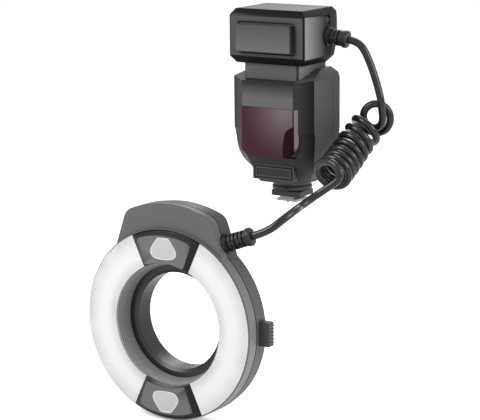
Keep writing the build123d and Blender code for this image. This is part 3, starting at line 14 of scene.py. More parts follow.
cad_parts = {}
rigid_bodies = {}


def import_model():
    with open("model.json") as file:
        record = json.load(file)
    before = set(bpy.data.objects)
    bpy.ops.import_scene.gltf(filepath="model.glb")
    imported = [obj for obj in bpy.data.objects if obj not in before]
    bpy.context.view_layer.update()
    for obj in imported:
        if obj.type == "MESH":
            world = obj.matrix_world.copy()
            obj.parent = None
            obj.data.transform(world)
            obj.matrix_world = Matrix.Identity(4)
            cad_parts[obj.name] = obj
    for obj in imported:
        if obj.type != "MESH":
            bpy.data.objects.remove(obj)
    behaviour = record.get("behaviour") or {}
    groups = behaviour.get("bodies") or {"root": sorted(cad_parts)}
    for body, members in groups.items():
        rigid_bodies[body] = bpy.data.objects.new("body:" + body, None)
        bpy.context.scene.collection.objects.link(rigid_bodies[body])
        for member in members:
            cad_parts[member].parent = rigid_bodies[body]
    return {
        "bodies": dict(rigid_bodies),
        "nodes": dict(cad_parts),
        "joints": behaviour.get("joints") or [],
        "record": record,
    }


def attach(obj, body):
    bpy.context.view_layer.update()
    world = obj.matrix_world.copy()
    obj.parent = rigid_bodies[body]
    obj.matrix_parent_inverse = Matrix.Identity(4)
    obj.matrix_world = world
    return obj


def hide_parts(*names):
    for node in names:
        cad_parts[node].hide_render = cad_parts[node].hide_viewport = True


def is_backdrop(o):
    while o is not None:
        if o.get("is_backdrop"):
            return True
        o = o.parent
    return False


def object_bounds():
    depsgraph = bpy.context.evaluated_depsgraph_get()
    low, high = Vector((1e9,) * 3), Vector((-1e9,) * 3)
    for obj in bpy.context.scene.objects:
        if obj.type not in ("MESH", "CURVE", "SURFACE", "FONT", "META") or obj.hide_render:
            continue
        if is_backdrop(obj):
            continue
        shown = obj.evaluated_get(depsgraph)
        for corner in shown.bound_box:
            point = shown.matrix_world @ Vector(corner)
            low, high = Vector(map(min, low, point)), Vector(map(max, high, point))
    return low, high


logging.basicConfig(level=logging.INFO, format="%(message)s")
log = logging.getLogger("ring_flash")

MM = 0.001
RING_AXIS_MM = -64.6
ROOT = "ring_flash"
PLASTIC_IOR = 1.49
SMOOTH_ANGLE = math.radians(35)

Colour = tuple[float, float, float]
Place = tuple[float, float, float]
Span = tuple[float, float]

GAP_BLACK: Colour = (0.004, 0.004, 0.004)
# Painted shade inside small holes, and the painted glint in them.
HOLE_SHADE: Colour = (0.002, 0.002, 0.002)
GLINT_WHITE: Colour = (0.6, 0.6, 0.6)
PEBBLE_GREY: Colour = (0.35, 0.36, 0.37)
# Painted shade along the red window's fold.
FOLD_SHADE: Colour = (0.002, 0.001, 0.001)


class Socket(Enum):
    """The kinds of socket that a shader group has."""

    NUMBER = "NodeSocketFloat"
    COLOUR = "NodeSocketColor"


class Graph:
    """A short way to place and join shader nodes in one tree."""

    def __init__(self, tree: bpy.types.NodeTree) -> None:
        """Keep the tree to add to."""
        self.tree = tree

    def add(self, kind: str, values: dict | None = None, **options: object) -> bpy.types.Node:
        """Place a node.

        Args:
            kind: The node's type name.
            values: Values or sockets for its inputs, by name or index.
            options: Settings of the node itself.

        Returns:
            The new node.
        """
        node = self.tree.nodes.new(kind)
        for name, value in options.items():
            setattr(node, name, value)
        for key, value in (values or {}).items():
            self.feed(node.inputs[key], value)
        return node

    def feed(self, socket: bpy.types.NodeSocket, value: object) -> None:
        """Set an input, or join another node's output to it.

        Args:
            socket: The input.
            value: A number, a colour or an output socket.
        """
        if isinstance(value, bpy.types.NodeSocket):
            self.tree.links.new(value, socket)
        elif isinstance(value, tuple) and len(value) == 3 and socket.type == "RGBA":
            socket.default_value = (*value, 1.0)
        else:
            socket.default_value = value

    def maths(self, operation: str, first: object, second: object = 0.0) -> bpy.types.NodeSocket:
        """The result of a sum with one or two values."""
        return self.add("ShaderNodeMath", {0: first, 1: second}, operation=operation).outputs[0]

    def apart(self, value: object, mark: object) -> bpy.types.NodeSocket:
        """How far a number is from a mark, on either side."""
        return self.maths("ABSOLUTE", self.maths("SUBTRACT", value, mark))

    def scaled(self, colour: object, factor: object) -> bpy.types.NodeSocket:
        """A colour made lighter or darker by a factor."""
        return self.add("ShaderNodeVectorMath", {0: colour, "Scale": factor}, operation="SCALE").outputs[0]

    def distance(self, point: object, mark: object) -> bpy.types.NodeSocket:
        """The distance between two points."""
        return self.add("ShaderNodeVectorMath", {0: point, 1: mark}, operation="DISTANCE").outputs["Value"]

    def noise(self, point: object, scale: object, detail: float) -> bpy.types.NodeSocket:
        """Smooth noise around a half."""
        values = {"Vector": point, "Scale": scale, "Detail": detail}
        return self.add("ShaderNodeTexNoise", values).outputs["Fac"]

    def place(self) -> tuple[bpy.types.NodeSocket, bpy.types.bpy_prop_collection]:
        """Where the surface lies in the frame: the point, and its X, Y and Z by name."""
        point = self.add("ShaderNodeTexCoord").outputs["Object"]
        return point, self.add("ShaderNodeSeparateXYZ", {0: point}).outputs

    def blend(self, share: object, first: object, second: object) -> bpy.types.NodeSocket:
        """Two colours mixed, with the share of the second."""
        return self.add("ShaderNodeMix", {0: share, 6: first, 7: second}, data_type="RGBA").outputs[2]

    def ramp(
        self, value: object, low: object, high: object, low_out: float = 0.0, high_out: float = 1.0
    ) -> bpy.types.NodeSocket:
        """A number mapped from one span to another, and held at both ends."""
        return self.add("ShaderNodeMapRange", {0: value, 1: low, 2: high, 3: low_out, 4: high_out}).outputs[0]


class GroupLibrary:
    """The shader groups that several finishes share, each built once."""

    slow_scale: float = 26.0
    grain_roughness: float = 0.6
    roughness_spread: float = 0.12
    side_span: Span = (0.75, 0.92)

    def start(
        self, name: str, inputs: dict[str, object], outputs: dict[str, Socket]
    ) -> tuple[Graph, bpy.types.bpy_prop_collection, bpy.types.bpy_prop_collection]:
        """Make a new group with named sockets.

        Args:
            name: The group's name.
            inputs: Each input's first value, a number or a colour.
            outputs: Each output's kind.

        Returns:
            The graph, the values given to it and the sockets for its results.
        """
        tree = bpy.data.node_groups.new(name, "ShaderNodeTree")
        for socket_name, value in inputs.items():
            kind = Socket.COLOUR if isinstance(value, tuple) else Socket.NUMBER
            socket = tree.interface.new_socket(name=socket_name, in_out="INPUT", socket_type=kind.value)
            socket.default_value = (*value, 1.0) if kind is Socket.COLOUR else value
        for socket_name, kind in outputs.items():
            tree.interface.new_socket(name=socket_name, in_out="OUTPUT", socket_type=kind.value)
        graph = Graph(tree)
        return graph, graph.add("NodeGroupInput").outputs, graph.add("NodeGroupOutput").inputs

    @cache
    def moulded_skin(self) -> bpy.types.NodeTree:
        """Fine spark-eroded grain with slow changes of tone.

        Returns:
            The group.
        """
        graph, given, result = self.start(
            "moulded_skin",
            {
                "Colour": (0.05, 0.05, 0.05),
                "Tone Change": 0.1,
                "Grain Scale": 2400.0,
                "Grain Depth": 0.3,
                "Roughness": 0.5,
            },
            {"Colour": Socket.COLOUR, "Roughness": Socket.NUMBER, "Height": Socket.NUMBER},
        )
        point, _ = graph.place()
        grain = graph.noise(point, given["Grain Scale"], 2.0)
        grain.node.inputs["Roughness"].default_value = self.grain_roughness
        spread = graph.maths("SUBTRACT", graph.noise(point, self.slow_scale, 3.0), 0.5)
        change = graph.maths("ADD", graph.maths("MULTIPLY", spread, given["Tone Change"]), 1.0)
        speck = graph.maths("MULTIPLY", graph.maths("SUBTRACT", grain, 0.5), given["Tone Change"])
        graph.feed(result["Colour"], graph.scaled(given["Colour"], graph.maths("ADD", change, speck)))
        rough = graph.maths("MULTIPLY", spread, self.roughness_spread)
        graph.feed(result["Roughness"], graph.maths("ADD", given["Roughness"], rough))
        graph.feed(result["Height"], graph.maths("MULTIPLY", grain, given["Grain Depth"]))
        return graph.tree

    @cache
    def ring_lines(self) -> bpy.types.NodeTree:
        """Fine lines concentric with the ring head's axis.

        Returns:
            The group.
        """
        graph, given, result = self.start(
            "ring_lines",
            {"Pitch": 0.001, "Depth": 1.0},
            {"Line": Socket.NUMBER, "Height": Socket.NUMBER, "Radius": Socket.NUMBER},
        )
        _, parts = graph.place()
        squares = graph.maths(
            "ADD",
            graph.maths("POWER", graph.maths("ABSOLUTE", parts["X"]), 2.0),
            graph.maths("POWER", graph.apart(parts["Z"], RING_AXIS_MM * MM), 2.0),
        )
        radius = graph.maths("SQRT", squares)
        phase = graph.maths("FRACT", graph.maths("DIVIDE", radius, given["Pitch"]))
        saw = graph.apart(graph.maths("MULTIPLY", phase, 2.0), 1.0)
        graph.feed(result["Line"], saw)
        graph.feed(result["Height"], graph.maths("MULTIPLY", saw, given["Depth"]))
        graph.feed(result["Radius"], radius)
        return graph.tree

    @cache
    def flat_faces(self) -> bpy.types.NodeTree:
        """Tell faces square to the frame's axes from slanted ones.

        Returns:
            The group: all flat faces, those square to or round the ring's axis, and the sides.
        """
        graph, given, result = self.start(
            "flat_faces",
            {"Low": 0.86, "High": 0.97},
            {"Flat": Socket.NUMBER, "Turned": Socket.NUMBER, "Side": Socket.NUMBER},
        )
        normal = graph.add("ShaderNodeTexCoord").outputs["Normal"]
        parts = graph.add("ShaderNodeSeparateXYZ", {0: normal}).outputs
        x, y, z = (graph.maths("ABSOLUTE", parts[axis]) for axis in ("X", "Y", "Z"))
        most = graph.maths("MAXIMUM", graph.maths("MAXIMUM", x, y), z)
        graph.feed(result["Flat"], graph.ramp(most, given["Low"], given["High"]))
        round_y = graph.maths("SQRT", graph.maths("SUBTRACT", 1.0, graph.maths("MULTIPLY", y, y)))
        turned = graph.maths("MAXIMUM", y, round_y)
        graph.feed(result["Turned"], graph.ramp(turned, given["Low"], given["High"]))
        graph.feed(result["Side"], graph.ramp(x, *self.side_span))
        return graph.tree

    @cache
    def seam_line(self) -> bpy.types.NodeTree:
        """A thin line all round at one depth, where two mouldings meet.

        Returns:
            The group.
        """
        graph, given, result = self.start(
            "seam_line",
            {"Depth": 0.0, "Width": 0.0004},
            {"Line": Socket.NUMBER},
        )
        _, parts = graph.place()
        away = graph.apart(parts["Y"], given["Depth"])
        graph.feed(result["Line"], graph.maths("LESS_THAN", away, given["Width"]))
        return graph.tree


GROUPS = GroupLibrary()


def principled(name: str, **settings: float) -> tuple[bpy.types.Material, Graph, bpy.types.Node]:
    """Start a material with its Principled shader.

    Args:
        name: The material's name.
        settings: Fixed values of the shader, with underscores for spaces.

    Returns:
        The material, its graph and its shader node.
    """
    material = bpy.data.materials.new(name)
    material.use_nodes = True
    material.node_tree.nodes.clear()
    graph = Graph(material.node_tree)
    shader = graph.add("ShaderNodeBsdfPrincipled")
    for setting, value in settings.items():
        shader.inputs[setting.replace("_", " ")].default_value = value
    graph.add("ShaderNodeOutputMaterial", {0: shader.outputs[0]})
    return material, graph, shader


def skin_over(
    graph: Graph, shader: bpy.types.Node, values: dict[str, object], depth: float = 0.05 * MM
) -> tuple[bpy.types.Node, bpy.types.Node]:
    """Give a shader the moulded skin's colour, roughness and grain.

    Args:
        graph: The material's graph.
        shader: Its Principled shader.
        values: The skin's own values.
        depth: How deep its grain goes.

    Returns:
        The skin's node and the bump node behind it.
    """
    skin = graph.add("ShaderNodeGroup", values, node_tree=GROUPS.moulded_skin())
    bump = graph.add("ShaderNodeBump", {"Height": skin.outputs["Height"], "Distance": depth})
    graph.feed(shader.inputs["Base Color"], skin.outputs["Colour"])
    graph.feed(shader.inputs["Roughness"], skin.outputs["Roughness"])
    graph.feed(shader.inputs["Normal"], bump.outputs[0])
    return skin, bump


@dataclass(frozen=True)
class Moulded:
    """A moulded plastic or rubber skin with fine grain."""

    name: str
    colour: Colour
    roughness: float = 0.45
    tone_change: float = 0.12
    grain_scale: float = 2400.0
    grain_depth: float = 0.35
    specular: float = 0.45
    coat: float = 0.0

    def build(self) -> bpy.types.Material:
        """Make the material.

        Returns:
            The new material.
        """
        material, graph, shader = principled(
            self.name, Specular_IOR_Level=self.specular, Coat_Weight=self.coat, Coat_Roughness=0.15
        )
        values = {
            "Colour": self.colour,
            "Tone Change": self.tone_change,
            "Grain Scale": self.grain_scale,
            "Grain Depth": self.grain_depth,
            "Roughness": self.roughness,
        }
        skin_over(graph, shader, values)
        return material


@dataclass(frozen=True)
class Housing:
    """A moulded housing with painted light: slants painted darker as shade and dark reflection, painted light
    and shade with height and on the sides, and a seam line.

    height, slant_x and side_y say where a change of tone begins and ends, in metres, and flat_span how
    squarely a face must point to count as flat. Tones multiply the colour.
    """

    name: str
    flat: Colour
    slant_shade: Colour
    roughness: float = 0.42
    specular: float = 0.35
    height: Span = (0.0, 1.0)
    painted_height_tones: Span = (1.0, 1.0)
    seam_y: float | None = None
    seam_width: float = 0.34 * MM
    seam_share: float = 0.85
    flat_span: Span = (0.86, 0.97)
    turned: bool = False
    slant_x: Span = (27 * MM, 37 * MM)
    slant_out: float = 1.0
    side_y: Span = (-40 * MM, 15 * MM)
    painted_side_tones: Span = (1.0, 1.0)
    corner: Span | None = None
    corner_width: float = 2.6 * MM
    hole: Place | None = None
    hole_radius: float = 1.2 * MM
    hole_rim: float = 1.2
    glint_drop: float = 0.55
    glint_rims: Span = (0.35, 0.6)
    glint_share: float = 0.8

    def faces(self, graph: Graph, parts: bpy.types.bpy_prop_collection) -> bpy.types.NodeSocket:
        """Colour the flat faces and the slants with painted light: slants painted darker, and painted light
        and shade with height and on the sides.

        Args:
            graph: The material's graph.
            parts: X, Y and Z of the surface's point.

        Returns:
            The colour.
        """
        span = dict(zip(("Low", "High"), self.flat_span))
        face = graph.add("ShaderNodeGroup", span, node_tree=GROUPS.flat_faces()).outputs
        # Painted light and shade: the colour lighter or darker with height.
        tone = graph.ramp(parts["Z"], *self.height, *self.painted_height_tones)
        # Painted highlight and shade on the sides, changing from front to rear.
        front, rear = self.painted_side_tones
        along = graph.ramp(parts["Y"], *self.side_y, front - 1, rear - 1)
        along = graph.maths("ADD", graph.maths("MULTIPLY", along, face["Side"]), 1.0)
        # Slants painted dark as shade and dark reflection, darker still towards the sides.
        out = graph.ramp(graph.maths("ABSOLUTE", parts["X"]), *self.slant_x, 1.0, self.slant_out)
        level = face["Turned" if self.turned else "Flat"]
        colour = graph.blend(level, graph.scaled(self.slant_shade, out), self.flat)
        return graph.scaled(colour, graph.maths("MULTIPLY", tone, along))

    def edge_shade_strip(
        self, graph: Graph, parts: bpy.types.bpy_prop_collection, colour: object, corner: Span
    ) -> bpy.types.NodeSocket:
        """Paint dark strips down the upright front edges, a painted dark reflection in their rounding.

        Args:
            graph: The material's graph.
            parts: X, Y and Z of the surface's point.
            colour: The colour so far.
            corner: Where the edges are, across and in depth.

        Returns:
            The colour with the strips.
        """
        beside = graph.apart(graph.maths("ABSOLUTE", parts["X"]), corner[0])
        far = graph.maths("MAXIMUM", beside, graph.apart(parts["Y"], corner[1]))
        dark = graph.ramp(far, self.corner_width * 0.5, self.corner_width, 1.0, 0.0)
        return graph.blend(dark, colour, self.slant_shade)

    def small_hole(self, graph: Graph, point: object, colour: object, hole: Place) -> bpy.types.NodeSocket:
        """Paint a small round hole: painted shade inside it and a painted glint.

        Args:
            graph: The material's graph.
            point: The surface's point.
            colour: The colour so far.
            hole: The hole's middle.

        Returns:
            The colour with the hole.
        """
        radius = self.hole_radius
        hole_shade = graph.ramp(graph.distance(point, hole), radius, radius * self.hole_rim, 1.0, 0.0)
        low = (hole[0], hole[1], hole[2] - radius * self.glint_drop)
        core, rim = (radius * share for share in self.glint_rims)
        glint = graph.ramp(graph.distance(point, low), core, rim, self.glint_share, 0.0)
        return graph.blend(glint, graph.blend(hole_shade, colour, HOLE_SHADE), GLINT_WHITE)

    def build(self) -> bpy.types.Material:
        """Make the material.

        Returns:
            The new material.
        """
        material, graph, shader = principled(self.name, Specular_IOR_Level=self.specular)
        point, parts = graph.place()
        colour = self.faces(graph, parts)
        # Painted dark reflection strips down the front edges.
        if self.corner:
            colour = self.edge_shade_strip(graph, parts, colour, self.corner)
        if self.seam_y is not None:
            sizes = {"Depth": self.seam_y, "Width": self.seam_width}
            seam = graph.add("ShaderNodeGroup", sizes, node_tree=GROUPS.seam_line()).outputs["Line"]
            colour = graph.blend(graph.maths("MULTIPLY", seam, self.seam_share), colour, GAP_BLACK)
        # A small hole with painted shade inside and a painted glint.
        if self.hole:
            colour = self.small_hole(graph, point, colour, self.hole)
        skin_over(graph, shader, {"Colour": colour, "Grain Depth": 0.35, "Roughness": self.roughness})
        return material


@dataclass(frozen=True)
class Framed:
    """Black plastic with painted highlight lines on the borders of its nested frames."""

    name: str
    colour: Colour
    border: Colour
    middle_z: float
    half_width: float
    half_height: float
    insets: tuple[float, ...] = (0.5 * MM, 3.1 * MM)
    line: float = 0.32 * MM

    def build(self) -> bpy.types.Material:
        """Make the material.

        Returns:
            The new material.
        """
        material, graph, shader = principled(self.name, Specular_IOR_Level=0.2)
        _, parts = graph.place()
        across = graph.maths("SUBTRACT", graph.maths("ABSOLUTE", parts["X"]), self.half_width)
        up = graph.maths("SUBTRACT", graph.apart(parts["Z"], self.middle_z), self.half_height)
        inwards = graph.maths("MAXIMUM", across, up)
        lit: float | bpy.types.NodeSocket = 0.0
        # Painted highlight lines along each frame's border.
        for inset in self.insets:
            away = graph.apart(inwards, -inset)
            lit = graph.maths("MAXIMUM", lit, graph.ramp(away, self.line, self.line * 2, 1.0, 0.0))
        colour = graph.blend(lit, self.colour, self.border)
        skin_over(graph, shader, {"Colour": colour, "Grain Depth": 0.4, "Roughness": 0.36})
        return material


@dataclass(frozen=True)
class Ribbed:
    """The bore's grey sleeve: fine ribs round it with their grooves painted darker as shade, and painted
    shade darker towards the rear of the bore.
    """

    name: str
    colour: Colour
    pitch: float = 1.8 * MM
    rib_start: float = -0.2
    rib_shade_tone: float = 0.55
    rib_depth: float = 0.2 * MM
    grain_share: float = 0.3
    front_y: float = -176 * MM
    rear_y: float = -160 * MM
    rear_shade_tone: float = 0.35

    def build(self) -> bpy.types.Material:
        """Make the material.

        Returns:
            The new material.
        """
        material, graph, shader = principled(self.name, Specular_IOR_Level=0.25)
        _, parts = graph.place()
        wave = graph.maths("SINE", graph.maths("MULTIPLY", parts["Y"], 2 * math.pi / self.pitch))
        rib = graph.ramp(wave, self.rib_start, 1.0)
        # Painted shade, darker towards the rear of the bore.
        tone = graph.ramp(parts["Y"], self.front_y, self.rear_y, 1.0, self.rear_shade_tone)
        # The rib grooves painted darker as shade.
        tone = graph.maths("MULTIPLY", tone, graph.ramp(rib, 0.0, 1.0, 1.0, self.rib_shade_tone))
        values = {"Colour": graph.scaled(self.colour, tone), "Roughness": 0.42}
        skin, bump = skin_over(graph, shader, values, self.rib_depth)
        grain = graph.maths("MULTIPLY", skin.outputs["Height"], self.grain_share)
        graph.feed(bump.inputs["Height"], graph.maths("SUBTRACT", grain, rib))
        return material


@dataclass(frozen=True)
class Metal:
    """A metal with a fine brushed or blasted surface."""

    name: str
    colour: Colour
    roughness: float = 0.3
    metallic: float = 1.0

    def build(self) -> bpy.types.Material:
        """Make the material.

        Returns:
            The new material.
        """
        material, graph, shader = principled(self.name, Metallic=self.metallic)
        values = {
            "Colour": self.colour,
            "Tone Change": 0.08,
            "Grain Scale": 1500.0,
            "Grain Depth": 0.15,
            "Roughness": self.roughness,
        }
        skin_over(graph, shader, values, 0.03 * MM)
        return material


@dataclass(frozen=True)
class Diffuser:
    """Milky white plastic with fine concentric prisms, clearest near its inner and outer border."""

    name: str
    colour: Colour
    line: Colour = (0.10, 0.105, 0.11)
    pitch: float = 1.25 * MM
    outer: Span = (60 * MM, 70 * MM)
    inner: Span = (54 * MM, 48 * MM)
    least: float = 0.04
    cloud_scale: float = 45.0
    prism_depth: float = 0.10 * MM

    def build(self) -> bpy.types.Material:
        """Make the material.

        Returns:
            The new material.
        """
        material, graph, shader = principled(self.name, Roughness=0.32)
        lines = graph.add("ShaderNodeGroup", {"Pitch": self.pitch}, node_tree=GROUPS.ring_lines()).outputs
        prisms = {"Height": lines["Height"], "Distance": self.prism_depth, "Strength": 0.5}
        outer = graph.ramp(lines["Radius"], *self.outer)
        inner = graph.ramp(lines["Radius"], *self.inner)
        point, _ = graph.place()
        cloud = graph.noise(point, self.cloud_scale, 3.0)
        edge = graph.maths("ADD", graph.maths("MAXIMUM", outer, inner), self.least)
        share = graph.maths("MULTIPLY", graph.maths("MULTIPLY", lines["Line"], edge), cloud)
        graph.feed(shader.inputs["Base Color"], graph.blend(share, self.colour, self.line))
        graph.feed(shader.inputs["Normal"], graph.add("ShaderNodeBump", prisms).outputs[0])
        return material


@dataclass(frozen=True)
class RedWindow:
    """Deep red infrared window with painted light: a painted highlight at its top right, painted shade and
    dark reflection where the lamp bay lies below it, a painted highlight on the wing, and a painted dark line
    of shade at the fold.
    """

    name: str
    dark: Colour
    low: Colour
    pale: Colour
    wing_highlight: Colour
    top_highlight_place: Place = (15 * MM, -37 * MM, 77 * MM)
    top_highlight: Span = (40 * MM, 3 * MM)
    top_highlight_power: float = 1.5
    bay_x: float = 12.6 * MM
    bay_z: Span = (54 * MM, 66 * MM)
    bay_power: float = 3.0
    bay_lean: float = 10 * MM
    bay_wave: float = 4 * MM
    bay_blur: float = 0.5 * MM
    wave_scale: float = 90.0
    wing_x: Span = (24.0 * MM, 24.5 * MM)
    wing_z: Span = (44 * MM, 50 * MM)
    fold_x: float = 23.6 * MM
    fold_width: float = 0.35 * MM

    def build(self) -> bpy.types.Material:
        """Make the material.

        Returns:
            The new material.
        """
        material, graph, shader = principled(
            self.name, Roughness=0.10, Specular_IOR_Level=0.05, Coat_Weight=0.04, Coat_Roughness=0.04
        )
        point, parts = graph.place()
        # Painted shade and dark reflection over the lamp bay, with a wavy border.
        rise = graph.maths("POWER", graph.ramp(parts["Z"], *self.bay_z), self.bay_power)
        border = graph.maths("ADD", graph.maths("MULTIPLY", rise, self.bay_lean), self.bay_x)
        wave = graph.noise(point, self.wave_scale, 0.0)
        border = graph.maths("ADD", border, graph.maths("MULTIPLY", wave, self.bay_wave))
        bay = graph.ramp(graph.maths("SUBTRACT", parts["X"], border), 0.0, self.bay_blur)
        # Painted highlight at the top right.
        top_highlight = graph.ramp(graph.distance(point, self.top_highlight_place), *self.top_highlight)
        colour = graph.blend(graph.maths("POWER", top_highlight, self.top_highlight_power), self.low, self.pale)
        colour = graph.blend(bay, colour, self.dark)
        # Painted highlight on the wing.
        wing_highlight = graph.maths(
            "MULTIPLY", graph.ramp(parts["X"], *self.wing_x), graph.ramp(parts["Z"], *self.wing_z)
        )
        colour = graph.blend(wing_highlight, colour, self.wing_highlight)
        # Painted shade along the fold.
        fold_shade = graph.maths("COMPARE", graph.maths("ABSOLUTE", parts["X"]), self.fold_x)
        fold_shade.node.inputs[2].default_value = self.fold_width
        graph.feed(shader.inputs["Base Color"], graph.blend(fold_shade, colour, FOLD_SHADE))
        return material


@dataclass(frozen=True)
class ClearCover:
    """Clear, tinted or milky glossy plastic or glass, smooth or pebbled."""

    name: str
    colour: Colour
    transmission: float = 0.9
    roughness: float = 0.05
    pebbles: float = 0.0
    pebble_scale: float = 900.0
    pebble_depth: float = 0.2 * MM
    pebble_reach: float = 0.7
    pebble_tone: float = 0.5

    def build(self) -> bpy.types.Material:
        """Make the material.

        Returns:
            The new material.
        """
        material, graph, shader = principled(
            self.name, Roughness=self.roughness, Transmission_Weight=self.transmission, IOR=PLASTIC_IOR
        )
        point, _ = graph.place()
        values = {"Vector": point, "Scale": self.pebble_scale}
        cells = graph.add("ShaderNodeTexVoronoi", values).outputs["Distance"]
        relief = {"Height": cells, "Distance": self.pebble_depth, "Strength": self.pebbles}
        tone = graph.ramp(cells, 0.0, self.pebble_reach, 0.0, min(self.pebbles, self.pebble_tone))
        graph.feed(shader.inputs["Base Color"], graph.blend(tone, self.colour, PEBBLE_GREY))
        graph.feed(shader.inputs["Normal"], graph.add("ShaderNodeBump", relief).outputs[0])
        return material


class Finish(Enum):
    """Every finish on the ring flash."""

    BLACK_PLASTIC = Moulded("black_plastic", (0.030, 0.030, 0.032), 0.42, specular=0.3)
    # Slants painted dark, a painted highlight on the sides fading to the rear, and a small hole with painted
    # shade and a painted glint.
    BODY_HOUSING = Housing(
        "body_housing",
        (0.052, 0.052, 0.054),
        (0.026, 0.026, 0.027),
        specular=0.12,
        seam_y=1.7 * MM,
        slant_out=0.1,
        painted_side_tones=(1.35, 0.9),
        hole=(22.5 * MM, -15.2 * MM, 21.6 * MM),
    )
    # Slants painted near black as shade and dark reflection, a strong painted highlight on the sides near the
    # front fading to shade at the rear, and painted dark strips down the front corners.
    HEAD_HOUSING = Housing(
        "head_housing",
        (0.072, 0.072, 0.074),
        (0.0025, 0.0025, 0.003),
        specular=0.05,
        flat_span=(0.92, 0.99),
        seam_y=-0.2 * MM,
        side_y=(-35 * MM, -6 * MM),
        painted_side_tones=(3.0, 0.25),
        corner=(35 * MM, -37.9 * MM),
    )
    # Painted light at its top and shade lower down, and its side walls painted dark as shade.
    HEAD_PANEL = Housing(
        "head_panel",
        (0.095, 0.095, 0.097),
        (0.012, 0.012, 0.012),
        specular=0.2,
        height=(0.120, 0.145),
        painted_height_tones=(1.25, 0.6),
        painted_side_tones=(0.16, 0.16),
    )
    # A painted highlight on the sides fading to shade at the rear, and painted dark strips down the front
    # corners.
    NECK_GREY = Housing(
        "neck_grey",
        (0.085, 0.085, 0.087),
        (0.02, 0.02, 0.021),
        specular=0.2,
        painted_side_tones=(2.2, 0.4),
        corner=(24.8 * MM, -31.2 * MM),
        corner_width=2.2 * MM,
    )
    # Painted shade, much darker at its top edge.
    FRONT_PANEL = Housing(
        "front_panel_grey",
        (0.100, 0.100, 0.102),
        (0.02, 0.02, 0.021),
        specular=0.2,
        height=(0.086, 0.098),
        painted_height_tones=(1.0, 0.12),
    )
    # Painted highlight lines on the frames' borders.
    COVER_BLACK = Framed(
        "cover_black", (0.026, 0.026, 0.027), (0.060, 0.060, 0.062), 26.3 * MM, 19.0 * MM, 6.4 * MM
    )
    # Painted light, lighter lower down, and slants painted dark as shade and dark reflection.
    RING_HOUSING = Housing(
        "ring_housing",
        (0.104, 0.104, 0.107),
        (0.012, 0.012, 0.013),
        specular=0.2,
        height=(-0.120, 0.005),
        painted_height_tones=(2.1, 1.0),
        seam_y=-166.6 * MM,
        flat_span=(0.9, 0.985),
        turned=True,
    )
    # Painted light, lighter lower down, and slants painted a little darker as shade.
    RING_REAR = Housing(
        "ring_rear",
        (0.062, 0.062, 0.064),
        (0.04, 0.04, 0.042),
        specular=0.2,
        height=(-0.120, 0.005),
        painted_height_tones=(1.9, 0.9),
        seam_y=-166.6 * MM,
        turned=True,
    )
    # Slants painted dark as shade on the plates' walls.
    PLATE_GREY = Housing(
        "plate_grey",
        (0.128, 0.128, 0.130),
        (0.010, 0.010, 0.011),
        specular=0.18,
        flat_span=(0.93, 0.99),
    )
    # Painted shade in the rib grooves and towards the rear of the bore.
    SLEEVE_GREY = Ribbed("sleeve_grey", (0.30, 0.30, 0.305))
    FINE_BLACK = Moulded("fine_black", (0.040, 0.040, 0.042), 0.38, grain_scale=3200.0)
    DARK_RUBBER = Moulded("dark_rubber", (0.012, 0.012, 0.013), 0.42, grain_depth=0.5, specular=0.3)
    CORD_RUBBER = Moulded("cord_rubber", (0.011, 0.011, 0.012), 0.22, grain_scale=1600.0, specular=0.38)
    KEY_RUBBER = Moulded("key_rubber", (0.045, 0.045, 0.048), 0.55, grain_depth=0.6)
    BOARD_GREEN = Moulded("board_green", (0.02, 0.12, 0.05), 0.45, grain_scale=700.0)
    CELL_WRAP = Moulded("cell_wrap", (0.12, 0.13, 0.15), 0.25, grain_depth=0.05, coat=0.4)
    SLEEVE_BLACK = Moulded("sleeve_black", (0.02, 0.02, 0.025), 0.25, grain_depth=0.05, coat=0.4)
    TAPE_YELLOW = Moulded("tape_yellow", (0.55, 0.45, 0.08), 0.5)
    LAMP_EPOXY = Moulded("lamp_epoxy", (0.85, 0.82, 0.66), 0.2, grain_depth=0.05, coat=0.5)
    WHITE_DIFFUSER = Diffuser("white_diffuser", (0.67, 0.67, 0.67))
    # Colours: painted shade over the lamp bay, plain red, painted highlight, painted highlight on the wing.
    RED_WINDOW = RedWindow(
        "red_window",
        (0.010, 0.0004, 0.0016),
        (0.045, 0.017, 0.023),
        (0.150, 0.110, 0.130),
        (0.170, 0.140, 0.150),
    )
    LAMP_LENS = ClearCover("lamp_lens", (0.47, 0.475, 0.47), 0.0, 0.25, 1.0)
    LENS_RIM = ClearCover("lens_rim", (0.56, 0.565, 0.56), 0.0, 0.15)
    CLEAR_LENS = ClearCover("clear_lens", (0.9, 0.9, 0.9), 0.9, 0.05)
    DISPLAY_CLEAR = ClearCover("display_clear", (0.03, 0.033, 0.033), 0.0, 0.08)
    DISPLAY_GLASS = ClearCover("display_glass", (0.20, 0.24, 0.20), 0.0, 0.1)
    TUBE_GLASS = ClearCover("tube_glass", (0.95, 0.96, 0.97), 0.9, 0.03)
    REFLECTOR = Metal("reflector", (0.82, 0.82, 0.84), 0.15)
    BLACK_METAL = Metal("black_metal", (0.030, 0.030, 0.032), 0.34, metallic=0.6)
    FOOT_METAL = Metal("foot_metal", (0.30, 0.30, 0.31), 0.42)
    SCREW_STEEL = Metal("screw_steel", (0.10, 0.10, 0.105), 0.35)
    CONTACT_METAL = Metal("contact_metal", (0.80, 0.62, 0.28), 0.25)


@cache
def material_of(finish: Finish) -> bpy.types.Material:
    """A finish's material, made once."""
    return finish.value.build()


@dataclass(frozen=True)
class Piece:
    """A node's finish, and for a copy with round edges their width, its slot and whether they are held in."""

    node: str
    finish: Finish
    edge: float = 0.0
    slot: str = "black_plastic"
    clamp: bool = True


